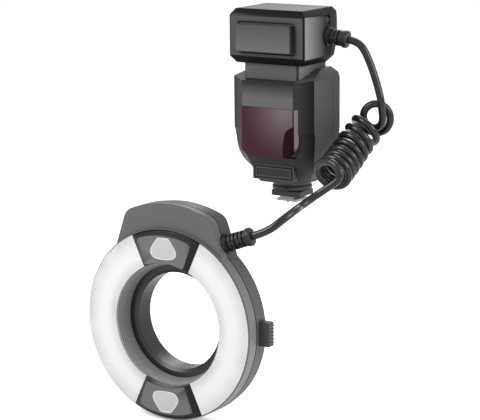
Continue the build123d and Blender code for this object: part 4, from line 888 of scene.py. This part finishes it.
class Workshop:
    """Dresses nodes of the frame, and makes edge-rounded copies of those whose edges show."""

    merge_distance: float = 2e-6
    flat_angle: float = math.radians(0.6)
    edge_angle: float = math.radians(32)
    sharp_angle: float = math.radians(34)

    def __init__(self, frame: dict) -> None:
        """Keep the loaded frame.
        """
        self.nodes: dict[str, bpy.types.Object] = frame["nodes"]
        self.bodies: dict[str, str] = {}
        for body, members in frame["record"]["behaviour"]["bodies"].items():
            for member in members:
                self.bodies[member] = body

    def dress(self, *pieces: Piece) -> None:
        """Give nodes their material, each on the node itself or on a copy with rounded edges.

        Args:
            pieces: The nodes' finishes and edge rounding.
        """
        for piece in pieces:
            target = self.rounded(piece) if piece.edge > 0 else self.nodes[piece.node]
            target.data.materials.clear()
            target.data.materials.append(material_of(piece.finish))
            log.info("%s: %s", target.name, piece.finish.name)

    def rounded(self, piece: Piece) -> bpy.types.Object:
        """Copy a node's mesh, round its edges and let the copy stand for the node.

        Args:
            piece: The node and the width of its edges.

        Returns:
            The new object.
        """
        source = self.nodes[piece.node]
        mesh = bpy.data.meshes.new(piece.node + "_skin")
        bm = bmesh.new()
        bm.from_mesh(source.data)
        bmesh.ops.remove_doubles(bm, verts=bm.verts, dist=self.merge_distance)
        bmesh.ops.dissolve_limit(bm, angle_limit=self.flat_angle, verts=bm.verts, edges=bm.edges)
        bm.to_mesh(mesh)
        bm.free()
        for name in ("custom_normal", "sharp_face"):
            if name in mesh.attributes:
                mesh.attributes.remove(mesh.attributes[name])
        obj = link(piece.node + "_skin", mesh)
        bevel = obj.modifiers.new("edge", "BEVEL")
        bevel.width = piece.edge
        bevel.segments = 2
        bevel.limit_method = "ANGLE"
        bevel.angle_limit = self.edge_angle
        bevel.use_clamp_overlap = piece.clamp
        obj.data = settled(obj)
        obj.modifiers.clear()
        obj.data.shade_smooth()
        obj.data.set_sharp_from_angle(angle=self.sharp_angle)
        even = obj.modifiers.new("even", "WEIGHTED_NORMAL")
        even.keep_sharp = True
        obj.data = settled(obj)
        obj.modifiers.clear()
        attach(obj, self.bodies[piece.node])
        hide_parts(piece.node)
        return obj


def link(name: str, data: bpy.types.ID) -> bpy.types.Object:
    """Put a new object in the scene.

    Args:
        name: Its name.
        data: Its mesh or curve.

    Returns:
        The object.
    """
    obj = bpy.data.objects.new(name, data)
    bpy.context.scene.collection.objects.link(obj)
    return obj


def settled(obj: bpy.types.Object) -> bpy.types.Mesh:
    """Give an object's mesh with its modifiers applied.

    Args:
        obj: The object.

    Returns:
        The new mesh.
    """
    bpy.context.view_layer.update()
    graph = bpy.context.evaluated_depsgraph_get()
    return bpy.data.meshes.new_from_object(obj.evaluated_get(graph))


@dataclass
class Station:
    """One station of the coil: turn, centre, axis and radius, in millimetres."""

    turn: float
    centre: Place
    axis: Place
    radius: float

    def row(self) -> list[float]:
        """The station as one row of numbers."""
        return [*self.centre, *self.axis, self.radius]


@dataclass
class CurlyCord:
    """The cord, from the head to the ring head: sizes in millimetres, its whole length in metres."""

    diameter: float = 6.0
    length: float = 0.9035
    turns: float = 9.1
    points_per_turn: int = 16
    turn_step: float = 0.001
    across: Place = (0.70, 0.25, -0.66)
    stations: tuple[Station, ...] = (
        Station(0.0, (63.0, -58.0, 37.0), (-0.05, 0.90, 0.42), 12.4),
        Station(0.25, (61.4, -47.5, 33.6), (-0.05, 0.90, 0.42), 12.4),
        Station(0.5, (60.6, -41.2, 32.2), (-0.05, 0.90, 0.42), 12.4),
        Station(1.5, (59.2, -32.0, 34.2), (-0.05, 0.90, 0.42), 12.2),
        Station(3.5, (58.4, -17.4, 40.5), (0.05, 0.85, 0.52), 12.0),
        Station(5.5, (59.5, -4.0, 50.0), (0.20, 0.77, 0.60), 12.0),
        Station(7.0, (62.2, 6.0, 59.0), (0.30, 0.66, 0.69), 12.0),
        Station(7.75, (65.0, 12.0, 64.2), (0.10, 0.70, 0.70), 12.4),
        Station(8.25, (68.2, 17.0, 69.6), (-0.35, 0.85, 0.35), 11.4),
        Station(8.75, (69.0, 12.5, 72.0), (-0.45, 0.85, 0.20), 10.4),
        Station(9.1, (67.5, 3.5, 72.2), (-0.45, 0.80, 0.10), 11.4),
    )
    head_root: Place = (35.0, -3.5, 134.0)
    head_way: Place = (0.966, 0.211, -0.151)
    head_reach: float = 17.5
    ring_root: Place = (44.0, -163.6, -0.8)
    ring_way: Place = (0.926, 0.199, 0.321)
    ring_reach: float = 22.0
    upper_lead: float = 7.0
    upper_tail: float = 10.0
    upper_route: tuple[Place, ...] = (
        (64.6, 3.0, 123.6),
        (70.2, 4.2, 110.5),
        (74.6, 5.0, 97.5),
    )
    lower_lead: float = 11.4
    lower_tail: float = 12.4
    lower_route: tuple[Place, ...] = (
        (53.1, -67.9, 13.6),
        (52.0, -78.3, 10.5),
        (55.3, -89.2, 10.6),
        (67.4, -104.9, 16.1),
        (82.9, -123.6, 23.5),
        (86.8, -137.1, 23.5),
        (83.9, -149.6, 18.6),
    )

    def station_at(self, turn: float) -> list[float]:
        """Centre, axis and radius at a turn, on a smooth curve through the stations.

        Args:
            turn: The turn.

        Returns:
            Seven numbers in millimetres.
        """
        rows = [station.row() for station in self.stations]
        marks = [station.turn for station in self.stations]
        last = len(rows) - 1
        i = 0
        while i < last - 1 and turn > marks[i + 1]:
            i += 1

        def slope(k: int) -> list[float]:
            """The change per turn at a station."""
            low, high = max(k - 1, 0), min(k + 1, last)
            return [(b - a) / (marks[high] - marks[low]) for a, b in zip(rows[low], rows[high])]

        span = marks[i + 1] - marks[i]
        s = (turn - marks[i]) / span
        weights = (
            2 * s**3 - 3 * s**2 + 1,
            (s**3 - 2 * s**2 + s) * span,
            3 * s**2 - 2 * s**3,
            (s**3 - s**2) * span,
        )
        columns = zip(rows[i], slope(i), rows[i + 1], slope(i + 1))
        return [sum(w * v for w, v in zip(weights, column)) for column in columns]

    def coil_point(self, turn: float) -> Vector:
        """A point of the coil's centre line.

        Args:
            turn: The turn.

        Returns:
            The point in millimetres.
        """
        row = self.station_at(turn)
        centre, axis = Vector(row[0:3]), Vector(row[3:6]).normalized()
        across = Vector(self.across)
        first = (across - axis * axis.dot(across)).normalized()
        second = first.cross(axis)
        angle = 2 * math.pi * turn
        return centre + (first * math.cos(angle) + second * math.sin(angle)) * row[6]

    def way_at(self, turn: float) -> Vector:
        """The way the cord runs at a turn, as a unit vector."""
        step = self.turn_step
        return (self.coil_point(turn + step) - self.coil_point(turn - step)).normalized()

    def route(self) -> list[Vector]:
        """The control points of the whole cord, in metres.

        Returns:
            The points, from the head to the ring head.
        """
        head_way = Vector(self.head_way).normalized()
        ring_way = Vector(self.ring_way).normalized()
        head_tip = Vector(self.head_root) + head_way * self.head_reach
        ring_tip = Vector(self.ring_root) + ring_way * self.ring_reach
        end_way, begin_way = self.way_at(self.turns), self.way_at(0.0)
        coil_end = self.coil_point(self.turns) + end_way * self.diameter
        coil_begin = self.coil_point(0.0) - begin_way * self.diameter
        points = [head_tip, head_tip + head_way * self.upper_lead]
        points += [Vector(p) for p in self.upper_route]
        points += [coil_end + end_way * self.upper_tail, coil_end]
        count = round(self.turns * self.points_per_turn)
        points += [self.coil_point(self.turns * (1 - i / count)) for i in range(count + 1)]
        points += [coil_begin, coil_begin - begin_way * self.lower_lead]
        points += [Vector(p) for p in self.lower_route]
        points += [ring_tip + ring_way * self.lower_tail, ring_tip]
        return [p * MM for p in points]

    def build(self) -> bpy.types.Object:
        """Returns:
            The cord.
        """
        points = self.route()
        curve = bpy.data.curves.new("curly_cord", "CURVE")
        curve.dimensions = "3D"
        curve.bevel_depth = self.diameter / 2 * MM
        curve.bevel_resolution = 5
        spline = curve.splines.new("NURBS")
        spline.points.add(len(points) - 1)
        for place, point in zip(spline.points, points):
            place.co = (*point, 1.0)
        spline.order_u = 3
        spline.use_endpoint_u = True
        spline.resolution_u = 4
        curve.use_fill_caps = True
        cord = link("curly_cord", curve)
        cord.data.materials.append(material_of(Finish.CORD_RUBBER))
        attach(cord, ROOT)
        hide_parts("cord_coil", "cord_upper", "cord_lower")
        log.info("curly_cord: %d points", len(points))
        return cord


def shell_mesh(name: str, points: list[Vector], faces: list[tuple[int, ...]]) -> bpy.types.Mesh:
    """Make a mesh with its faces turned outwards.

    Args:
        name: The mesh's name.
        points: Its points in metres.
        faces: Its faces.

    Returns:
        The mesh.
    """
    bm = bmesh.new()
    corners = [bm.verts.new(p) for p in points]
    for face in faces:
        bm.faces.new([corners[i] for i in face])
    bmesh.ops.recalc_face_normals(bm, faces=bm.faces)
    mesh = bpy.data.meshes.new(name)
    bm.to_mesh(mesh)
    bm.free()
    return mesh


def stacked(loops: list[list[Vector]]) -> tuple[list[Vector], list[tuple[int, ...]]]:
    """Join loops of equal count into one closed skin with flat ends.

    Args:
        loops: The loops, from one end to the other.

    Returns:
        Points and faces.
    """
    count = len(loops[0])
    points = [p for loop in loops for p in loop]
    faces = []
    for k in range(len(loops) - 1):
        for i in range(count):
            j = (i + 1) % count
            faces.append((k * count + i, k * count + j, (k + 1) * count + j, (k + 1) * count + i))
    faces.append(tuple(range(count - 1, -1, -1)))
    last = (len(loops) - 1) * count
    faces.append(tuple(last + i for i in range(count)))
    return points, faces


def cut_corners(points: list[Span], times: int) -> list[Span]:
    """Round an outline by cutting its corners again and again.

    Args:
        points: The outline's points.
        times: How often to cut.

    Returns:
        The rounder outline.
    """
    for _ in range(times):
        rounder = []
        for (x0, z0), (x1, z1) in zip(points, points[1:] + points[:1]):
            for share in (0.25, 0.75):
                rounder.append(((1 - share) * x0 + share * x1, (1 - share) * z0 + share * z1))
        points = rounder
    return points


def finish_piece(obj: bpy.types.Object, slot: str, node: str, *finishes: Finish) -> None:
    """Smooth and dress a piece, let it ride the root and stand for a node.

    Args:
        obj: The piece.
        slot: Its material slot; not used.
        node: The node that it stands for.
        finishes: Its finishes.
    """
    for finish in finishes:
        obj.data.materials.append(material_of(finish))
    obj.data.shade_smooth()
    obj.data.set_sharp_from_angle(angle=SMOOTH_ANGLE)
    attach(obj, ROOT)
    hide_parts(node)
    log.info("%s: %d faces", obj.name, len(obj.data.polygons))


@dataclass
class LampPlate:
    """A raised grey plate between the diffusers, with its lens; both are drawn for the top one.

    Sizes are in millimetres. A lens ring is its share of the outline and its depth from the face.
    """

    plate_node: str
    lens_node: str
    side: int
    base_y: float = -174.5
    face_y: float = -180.0
    inner: float = 46.5
    outer: float = 70.4
    half_arc: float = 24.7
    wall: float = 2.3
    slope: float = 3.7
    inner_share: float = 0.2
    outer_share: float = 0.75
    lip: float = 0.25
    lip_share: float = 0.9
    base_corner: float = 0.8
    face_corner: float = 2.4
    corner_steps: int = 6
    arc_steps: int = 12
    mean_radius: float = 58.0
    lens_middle: float = 57.0
    lens_rings: tuple[Span, ...] = (
        (1.0, 0.4),
        (1.0, -0.35),
        (0.965, -0.6),
        (0.93, -0.35),
        (0.90, -0.3),
        (0.6, -0.75),
        (0.3, -0.95),
    )
    rim_rings: int = 4
    lens_points: tuple[Span, ...] = (
        (-11.8, 57.2),
        (-11.4, 52.8),
        (-7.0, 49.9),
        (7.0, 49.9),
        (11.4, 52.8),
        (11.8, 57.2),
        (5.8, 65.2),
        (4.2, 66.3),
        (-4.2, 66.3),
        (-5.8, 65.2),
    )

    def place(self, x: float, z: float, y: float) -> Vector:
        """A point of this plate, from its place across, outwards and in depth on the top plate."""
        return Vector((x * self.side, y, RING_AXIS_MM + z * self.side)) * MM

    def outline(self, inset: float, corner: float, y: float) -> list[Vector]:
        """A sector with round corners.

        Args:
            inset: How far in from the plate's sides.
            corner: The corners' radius.
            y: Depth.

        Returns:
            Its points.
        """
        half = math.radians(self.half_arc) * self.mean_radius - inset
        low = self.inner + inset * self.inner_share
        high = self.outer - inset * self.outer_share
        corners = (
            (half - corner, high - corner, 90),
            (-half + corner, high - corner, 180),
            (-half + corner, low + corner, 270),
            (half - corner, low + corner, 360),
        )
        flat_points = []
        for u, v, end in corners:
            for k in range(self.corner_steps + 1):
                angle = math.radians(end - 90 + 90 * k / self.corner_steps)
                flat_points.append((u + corner * math.cos(angle), v + corner * math.sin(angle)))
        dense = []
        for (u0, v0), (u1, v1) in zip(flat_points, flat_points[1:] + flat_points[:1]):
            steps = self.arc_steps if abs(u1 - u0) > corner * 2 else 1
            dense += [(u0 + (u1 - u0) * k / steps, v0 + (v1 - v0) * k / steps) for k in range(steps)]
        points = []
        for u, v in dense:
            angle = u / self.mean_radius
            points.append(self.place(v * math.sin(angle), v * math.cos(angle), y))
        return points

    def build_plate(self) -> None:
        """Make the plate: an upright wall, a slope and a flat face."""
        loops = [
            self.outline(0.0, self.base_corner, self.base_y),
            self.outline(0.0, self.base_corner, self.base_y - self.wall),
            self.outline(self.slope * self.lip_share, self.face_corner, self.face_y + self.lip),
            self.outline(self.slope, self.face_corner, self.face_y),
        ]
        plate = link(self.plate_node + "_form", shell_mesh(self.plate_node, *stacked(loops)))
        finish_piece(plate, "grey_plastic", self.plate_node, Finish.PLATE_GREY)

    def build_lens(self) -> None:
        """Make the lens: a raised rim round a pebbled dome."""
        flat_points = cut_corners(list(self.lens_points), 2)
        loops = []
        for share, rise in self.lens_rings:
            ring = [(x * share, self.lens_middle + (z - self.lens_middle) * share) for x, z in flat_points]
            loops.append([self.place(x, z, self.face_y + rise) for x, z in ring])
        lens = link(self.lens_node + "_form", shell_mesh(self.lens_node, *stacked(loops)))
        for polygon in lens.data.polygons:
            polygon.material_index = int(polygon.index < len(flat_points) * self.rim_rings)
        finish_piece(lens, "clear_lens", self.lens_node, Finish.LAMP_LENS, Finish.LENS_RIM)

    def build(self) -> None:
        """Make the plate and its lens."""
        self.build_plate()
        self.build_lens()


@dataclass
class RedPane:
    """The red window: a flat pane with round lower corners that wraps on to both slanted columns.

    Sizes are in millimetres.
    """

    front_y: float = -37.0
    thickness: float = 1.5
    top: float = 78.7
    bottom: float = 39.6
    half: float = 26.6
    column: float = 23.4
    fall: float = 0.72
    foot: float = 13.0
    curve: float = 13.0
    rows: int = 28
    crowding: float = 1.6
    columns: tuple[float, ...] = (-1.0, -0.94, -0.88, -0.8, -0.5, -0.2, 0.2, 0.5, 0.8, 0.88, 0.94, 1.0)

    def half_at(self, z: float) -> float:
        """Half the pane's width at a height."""
        share = min((z - self.bottom) / self.curve, 1.0)
        return self.foot + (self.half - self.foot) * math.sqrt(1 - (1 - share) ** 2)

    def build(self) -> None:
        """Make the pane."""
        points, faces = [], []
        wide = len(self.columns)
        for back in (0.0, self.thickness):
            for k in range(self.rows + 1):
                z = self.bottom + (self.top - self.bottom) * (k / self.rows) ** self.crowding
                for column in self.columns:
                    x = column * self.half_at(z)
                    y = self.front_y + max(abs(x) - self.column, 0.0) * self.fall + back
                    points.append(Vector((x, y, z)) * MM)
        layer = wide * (self.rows + 1)
        for start in (0, layer):
            for k in range(self.rows):
                for i in range(wide - 1):
                    a = start + k * wide + i
                    faces.append((a, a + 1, a + 1 + wide, a + wide))
        rim = list(range(wide))
        rim += [wide * (k + 1) - 1 for k in range(1, self.rows + 1)]
        rim += [wide * self.rows + i for i in range(wide - 2, -1, -1)]
        rim += [wide * k for k in range(self.rows - 1, 0, -1)]
        for a, b in zip(rim, rim[1:] + rim[:1]):
            faces.append((a, b, b + layer, a + layer))
        pane = link("red_pane", shell_mesh("red_pane", points, faces))
        finish_piece(pane, "red_window", "af_window", Finish.RED_WINDOW)


@dataclass
class ControlBody:
    """The lower housing of the control unit with its window, panel, cover and door."""

    edge: float = 0.7 * MM
    fine_edge: float = 0.35 * MM

    def dress(self, workshop: Workshop) -> None:
        """Finish its nodes.

        Args:
            workshop: Dresses the nodes.
        """
        workshop.dress(
            Piece("body_front_shell", Finish.BODY_HOUSING, self.edge),
            Piece("body_rear_shell", Finish.BODY_HOUSING, self.edge),
            Piece("front_panel", Finish.FRONT_PANEL, self.fine_edge),
            Piece("lower_front_cover", Finish.COVER_BLACK, self.fine_edge),
            Piece("battery_door", Finish.BLACK_PLASTIC),
            Piece("door_hinge_pin", Finish.FOOT_METAL),
            Piece("neck_block", Finish.NECK_GREY, self.fine_edge, "grey_plastic"),
        )
        RedPane().build()


@dataclass
class UpperHead:
    """The head of the control unit with its raised blank panel."""

    edge: float = 0.75 * MM
    fine_edge: float = 0.4 * MM

    def dress(self, workshop: Workshop) -> None:
        """Finish its nodes.

        Args:
            workshop: Dresses the nodes.
        """
        workshop.dress(
            Piece("head_front_shell", Finish.HEAD_HOUSING, self.edge, clamp=False),
            Piece("head_rear_shell", Finish.HEAD_HOUSING, self.edge),
            Piece("head_front_panel", Finish.HEAD_PANEL, self.fine_edge, "grey_plastic"),
            Piece("head_side_screws", Finish.SCREW_STEEL),
            Piece("head_strain_relief", Finish.DARK_RUBBER),
        )


@dataclass
class RingHead:
    """The ring head: housing, diffusers, lamp plates, tabs and adapter."""

    edge: float = 0.8 * MM
    fine_edge: float = 0.4 * MM

    def dress(self, workshop: Workshop) -> None:
        """Finish its nodes.

        Args:
            workshop: Dresses the nodes.
        """
        workshop.dress(
            Piece("ring_front_shell", Finish.RING_HOUSING, self.edge, clamp=False),
            Piece("ring_rear_shell", Finish.RING_REAR, self.edge),
            Piece("ring_screws", Finish.SCREW_STEEL),
            Piece("ring_strain_relief", Finish.DARK_RUBBER),
            Piece("bore_sleeve", Finish.SLEEVE_GREY),
            Piece("adapter_ring", Finish.BLACK_METAL),
            Piece("ring_circuit_board", Finish.BOARD_GREEN),
            Piece("tube_sockets", Finish.DARK_RUBBER),
            Piece("focus_lamps", Finish.LAMP_EPOXY),
        )
        for side in ("right", "left"):
            workshop.dress(
                Piece("diffuser_" + side, Finish.WHITE_DIFFUSER),
                Piece("reflector_" + side, Finish.REFLECTOR),
                Piece("flash_tube_" + side, Finish.TUBE_GLASS),
                Piece("release_tab_" + side, Finish.FINE_BLACK),
            )
        for end in ("top", "bottom"):
            LampPlate(f"lamp_plate_{end}", f"lamp_lens_{end}", 1 if end == "top" else -1).build()


@dataclass
class ShoeFoot:
    """The foot, its lock and the contacts."""

    def dress(self, workshop: Workshop) -> None:
        """Finish its nodes.

        Args:
            workshop: Dresses the nodes.
        """
        workshop.dress(
            Piece("shoe_foot", Finish.FOOT_METAL),
            Piece("lock_pin", Finish.FOOT_METAL),
            Piece("contact_pins", Finish.CONTACT_METAL),
            Piece("lock_plate", Finish.BLACK_PLASTIC, 0.4 * MM),
            Piece("lock_wheel", Finish.FINE_BLACK),
            Piece("foot_pedestal", Finish.BLACK_PLASTIC),
        )


@dataclass
class RearControls:
    """Display, buttons, dial and switch on the back of the body."""

    buttons: tuple[str, ...] = ("button_1", "button_2", "button_3", "button_4", "set_button", "test_button")

    def dress(self, workshop: Workshop) -> None:
        """Finish its nodes.

        Args:
            workshop: Dresses the nodes.
        """
        for name in self.buttons:
            workshop.dress(Piece(name, Finish.KEY_RUBBER, 0.3 * MM, "button_rubber"))
        workshop.dress(
            Piece("display_window", Finish.DISPLAY_CLEAR),
            Piece("display_module", Finish.DISPLAY_GLASS),
            Piece("select_dial", Finish.FINE_BLACK),
            Piece("power_switch", Finish.BLACK_PLASTIC),
        )


@dataclass
class InsideParts:
    """What the housings hold."""

    def dress(self, workshop: Workshop) -> None:
        """Finish its nodes.

        Args:
            workshop: Dresses the nodes.
        """
        workshop.dress(
            Piece("main_board", Finish.BOARD_GREEN),
            Piece("battery_cells", Finish.CELL_WRAP),
            Piece("battery_contacts", Finish.CONTACT_METAL),
            Piece("flash_capacitor", Finish.SLEEVE_BLACK),
            Piece("charging_transformer", Finish.TAPE_YELLOW),
            Piece("aiming_lamp_block", Finish.BLACK_PLASTIC),
            Piece("aiming_lamp_lenses", Finish.CLEAR_LENS),
        )


@dataclass
class Lamp:
    """A soft studio lamp."""

    name: str
    place: Place
    target: Place
    size: float
    watts: float

    def build(self) -> None:
        """Put the lamp in the scene."""
        light = bpy.data.lights.new(self.name, "AREA")
        light.shape = "SQUARE"
        light.size = self.size
        light.energy = self.watts
        lamp = link(self.name, light)
        lamp.location = self.place
        lamp.rotation_euler = (Vector(self.target) - Vector(self.place)).to_track_quat("-Z", "Y").to_euler()


@dataclass
class Studio:
    """Camera, lamps, world and floor."""

    camera_place: Place = (0.82738, -1.34271, 0.30956)
    camera_target: Place = (-0.00879, -0.06350, 0.00182)
    roll: float = -0.517
    lens: float = 150.0
    sensor: float = 36.0
    shift_y: float = -0.0013
    world_level: float = 0.75
    floor_half: float = 6.0
    floor_gap: float = 1 * MM
    floor_glow: float = 0.35
    lamps: tuple[Lamp, ...] = (
        Lamp("key", (-0.55, -1.0, 0.95), (0.0, -0.08, 0.0), 0.7, 13.0),
        Lamp("side", (1.1, 0.1, 0.55), (0.0, -0.05, 0.05), 0.6, 8.0),
        Lamp("back", (-0.3, 1.0, 0.8), (0.0, 0.0, 0.05), 0.8, 6.0),
    )

    def add_camera(self) -> None:
        """Set the camera where the photograph was taken from."""
        data = bpy.data.cameras.new("camera")
        data.lens = self.lens
        data.sensor_width = self.sensor
        data.shift_y = self.shift_y
        data.clip_end = 20.0
        camera = link("camera", data)
        way = (Vector(self.camera_target) - Vector(self.camera_place)).to_track_quat("-Z", "Y")
        turn = Matrix.Rotation(math.radians(self.roll), 4, "Z")
        camera.matrix_world = Matrix.Translation(self.camera_place) @ way.to_matrix().to_4x4() @ turn
        bpy.context.scene.camera = camera

    def add_world(self) -> None:
        """Light evenly all round, with plain white where the camera and reflections see it."""
        world = bpy.data.worlds.new("studio")
        world.use_nodes = True
        world.node_tree.nodes.clear()
        graph = Graph(world.node_tree)
        path = graph.add("ShaderNodeLightPath")
        seen = graph.maths("MAXIMUM", path.outputs["Is Camera Ray"], path.outputs["Is Glossy Ray"])
        seen = graph.maths("MAXIMUM", seen, path.outputs["Is Transmission Ray"])
        strength = graph.ramp(seen, 0.0, 1.0, self.world_level, 1.0)
        sky = graph.add("ShaderNodeBackground", {0: (1.0, 1.0, 1.0), 1: strength})
        graph.add("ShaderNodeOutputWorld", {0: sky.outputs[0]})
        bpy.context.scene.world = world

    def add_floor(self, low: float) -> None:
        """Lay a pale floor below the object.

        Args:
            low: The object's lowest height in metres.
        """
        mesh = bpy.data.meshes.new("floor")
        half = self.floor_half
        square = ((-half, -half), (half, -half), (half, half), (-half, half))
        corners = [(x, y, low - self.floor_gap) for x, y in square]
        mesh.from_pydata(corners, [], [(0, 1, 2, 3)])
        floor = link("floor", mesh)
        material, graph, shader = principled("floor_paper", Roughness=0.9, Specular_IOR_Level=0.0)
        graph.feed(shader.inputs["Base Color"], (0.9, 0.9, 0.9))
        graph.feed(shader.inputs["Emission Color"], (1.0, 1.0, 1.0))
        seen = graph.add("ShaderNodeLightPath").outputs["Is Camera Ray"]
        graph.feed(shader.inputs["Emission Strength"], graph.maths("MULTIPLY", seen, self.floor_glow))
        floor.data.materials.append(material)
        floor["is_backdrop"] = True

    def build(self, low: float) -> None:
        """Set up the whole studio.

        Args:
            low: The object's lowest height in metres.
        """
        self.add_camera()
        for lamp in self.lamps:
            lamp.build()
        self.add_world()
        self.add_floor(low)
        bpy.context.scene.view_settings.view_transform = "Standard"


def flat(bounds: object) -> list:
    """The two corners of the bounds as plain lists of numbers."""
    return [[float(v) for v in corner] for corner in bounds]


def main() -> None:
    """Build and dress everything in order."""
    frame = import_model()
    cad_box = flat(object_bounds())
    Studio().build(cad_box[0][2])
    CurlyCord().build()
    workshop = Workshop(frame)
    for group in (ControlBody(), UpperHead(), RingHead(), ShoeFoot(), RearControls(), InsideParts()):
        group.dress(workshop)
        log.info("%s dressed", type(group).__name__)


if __name__ == "__main__":
    main()
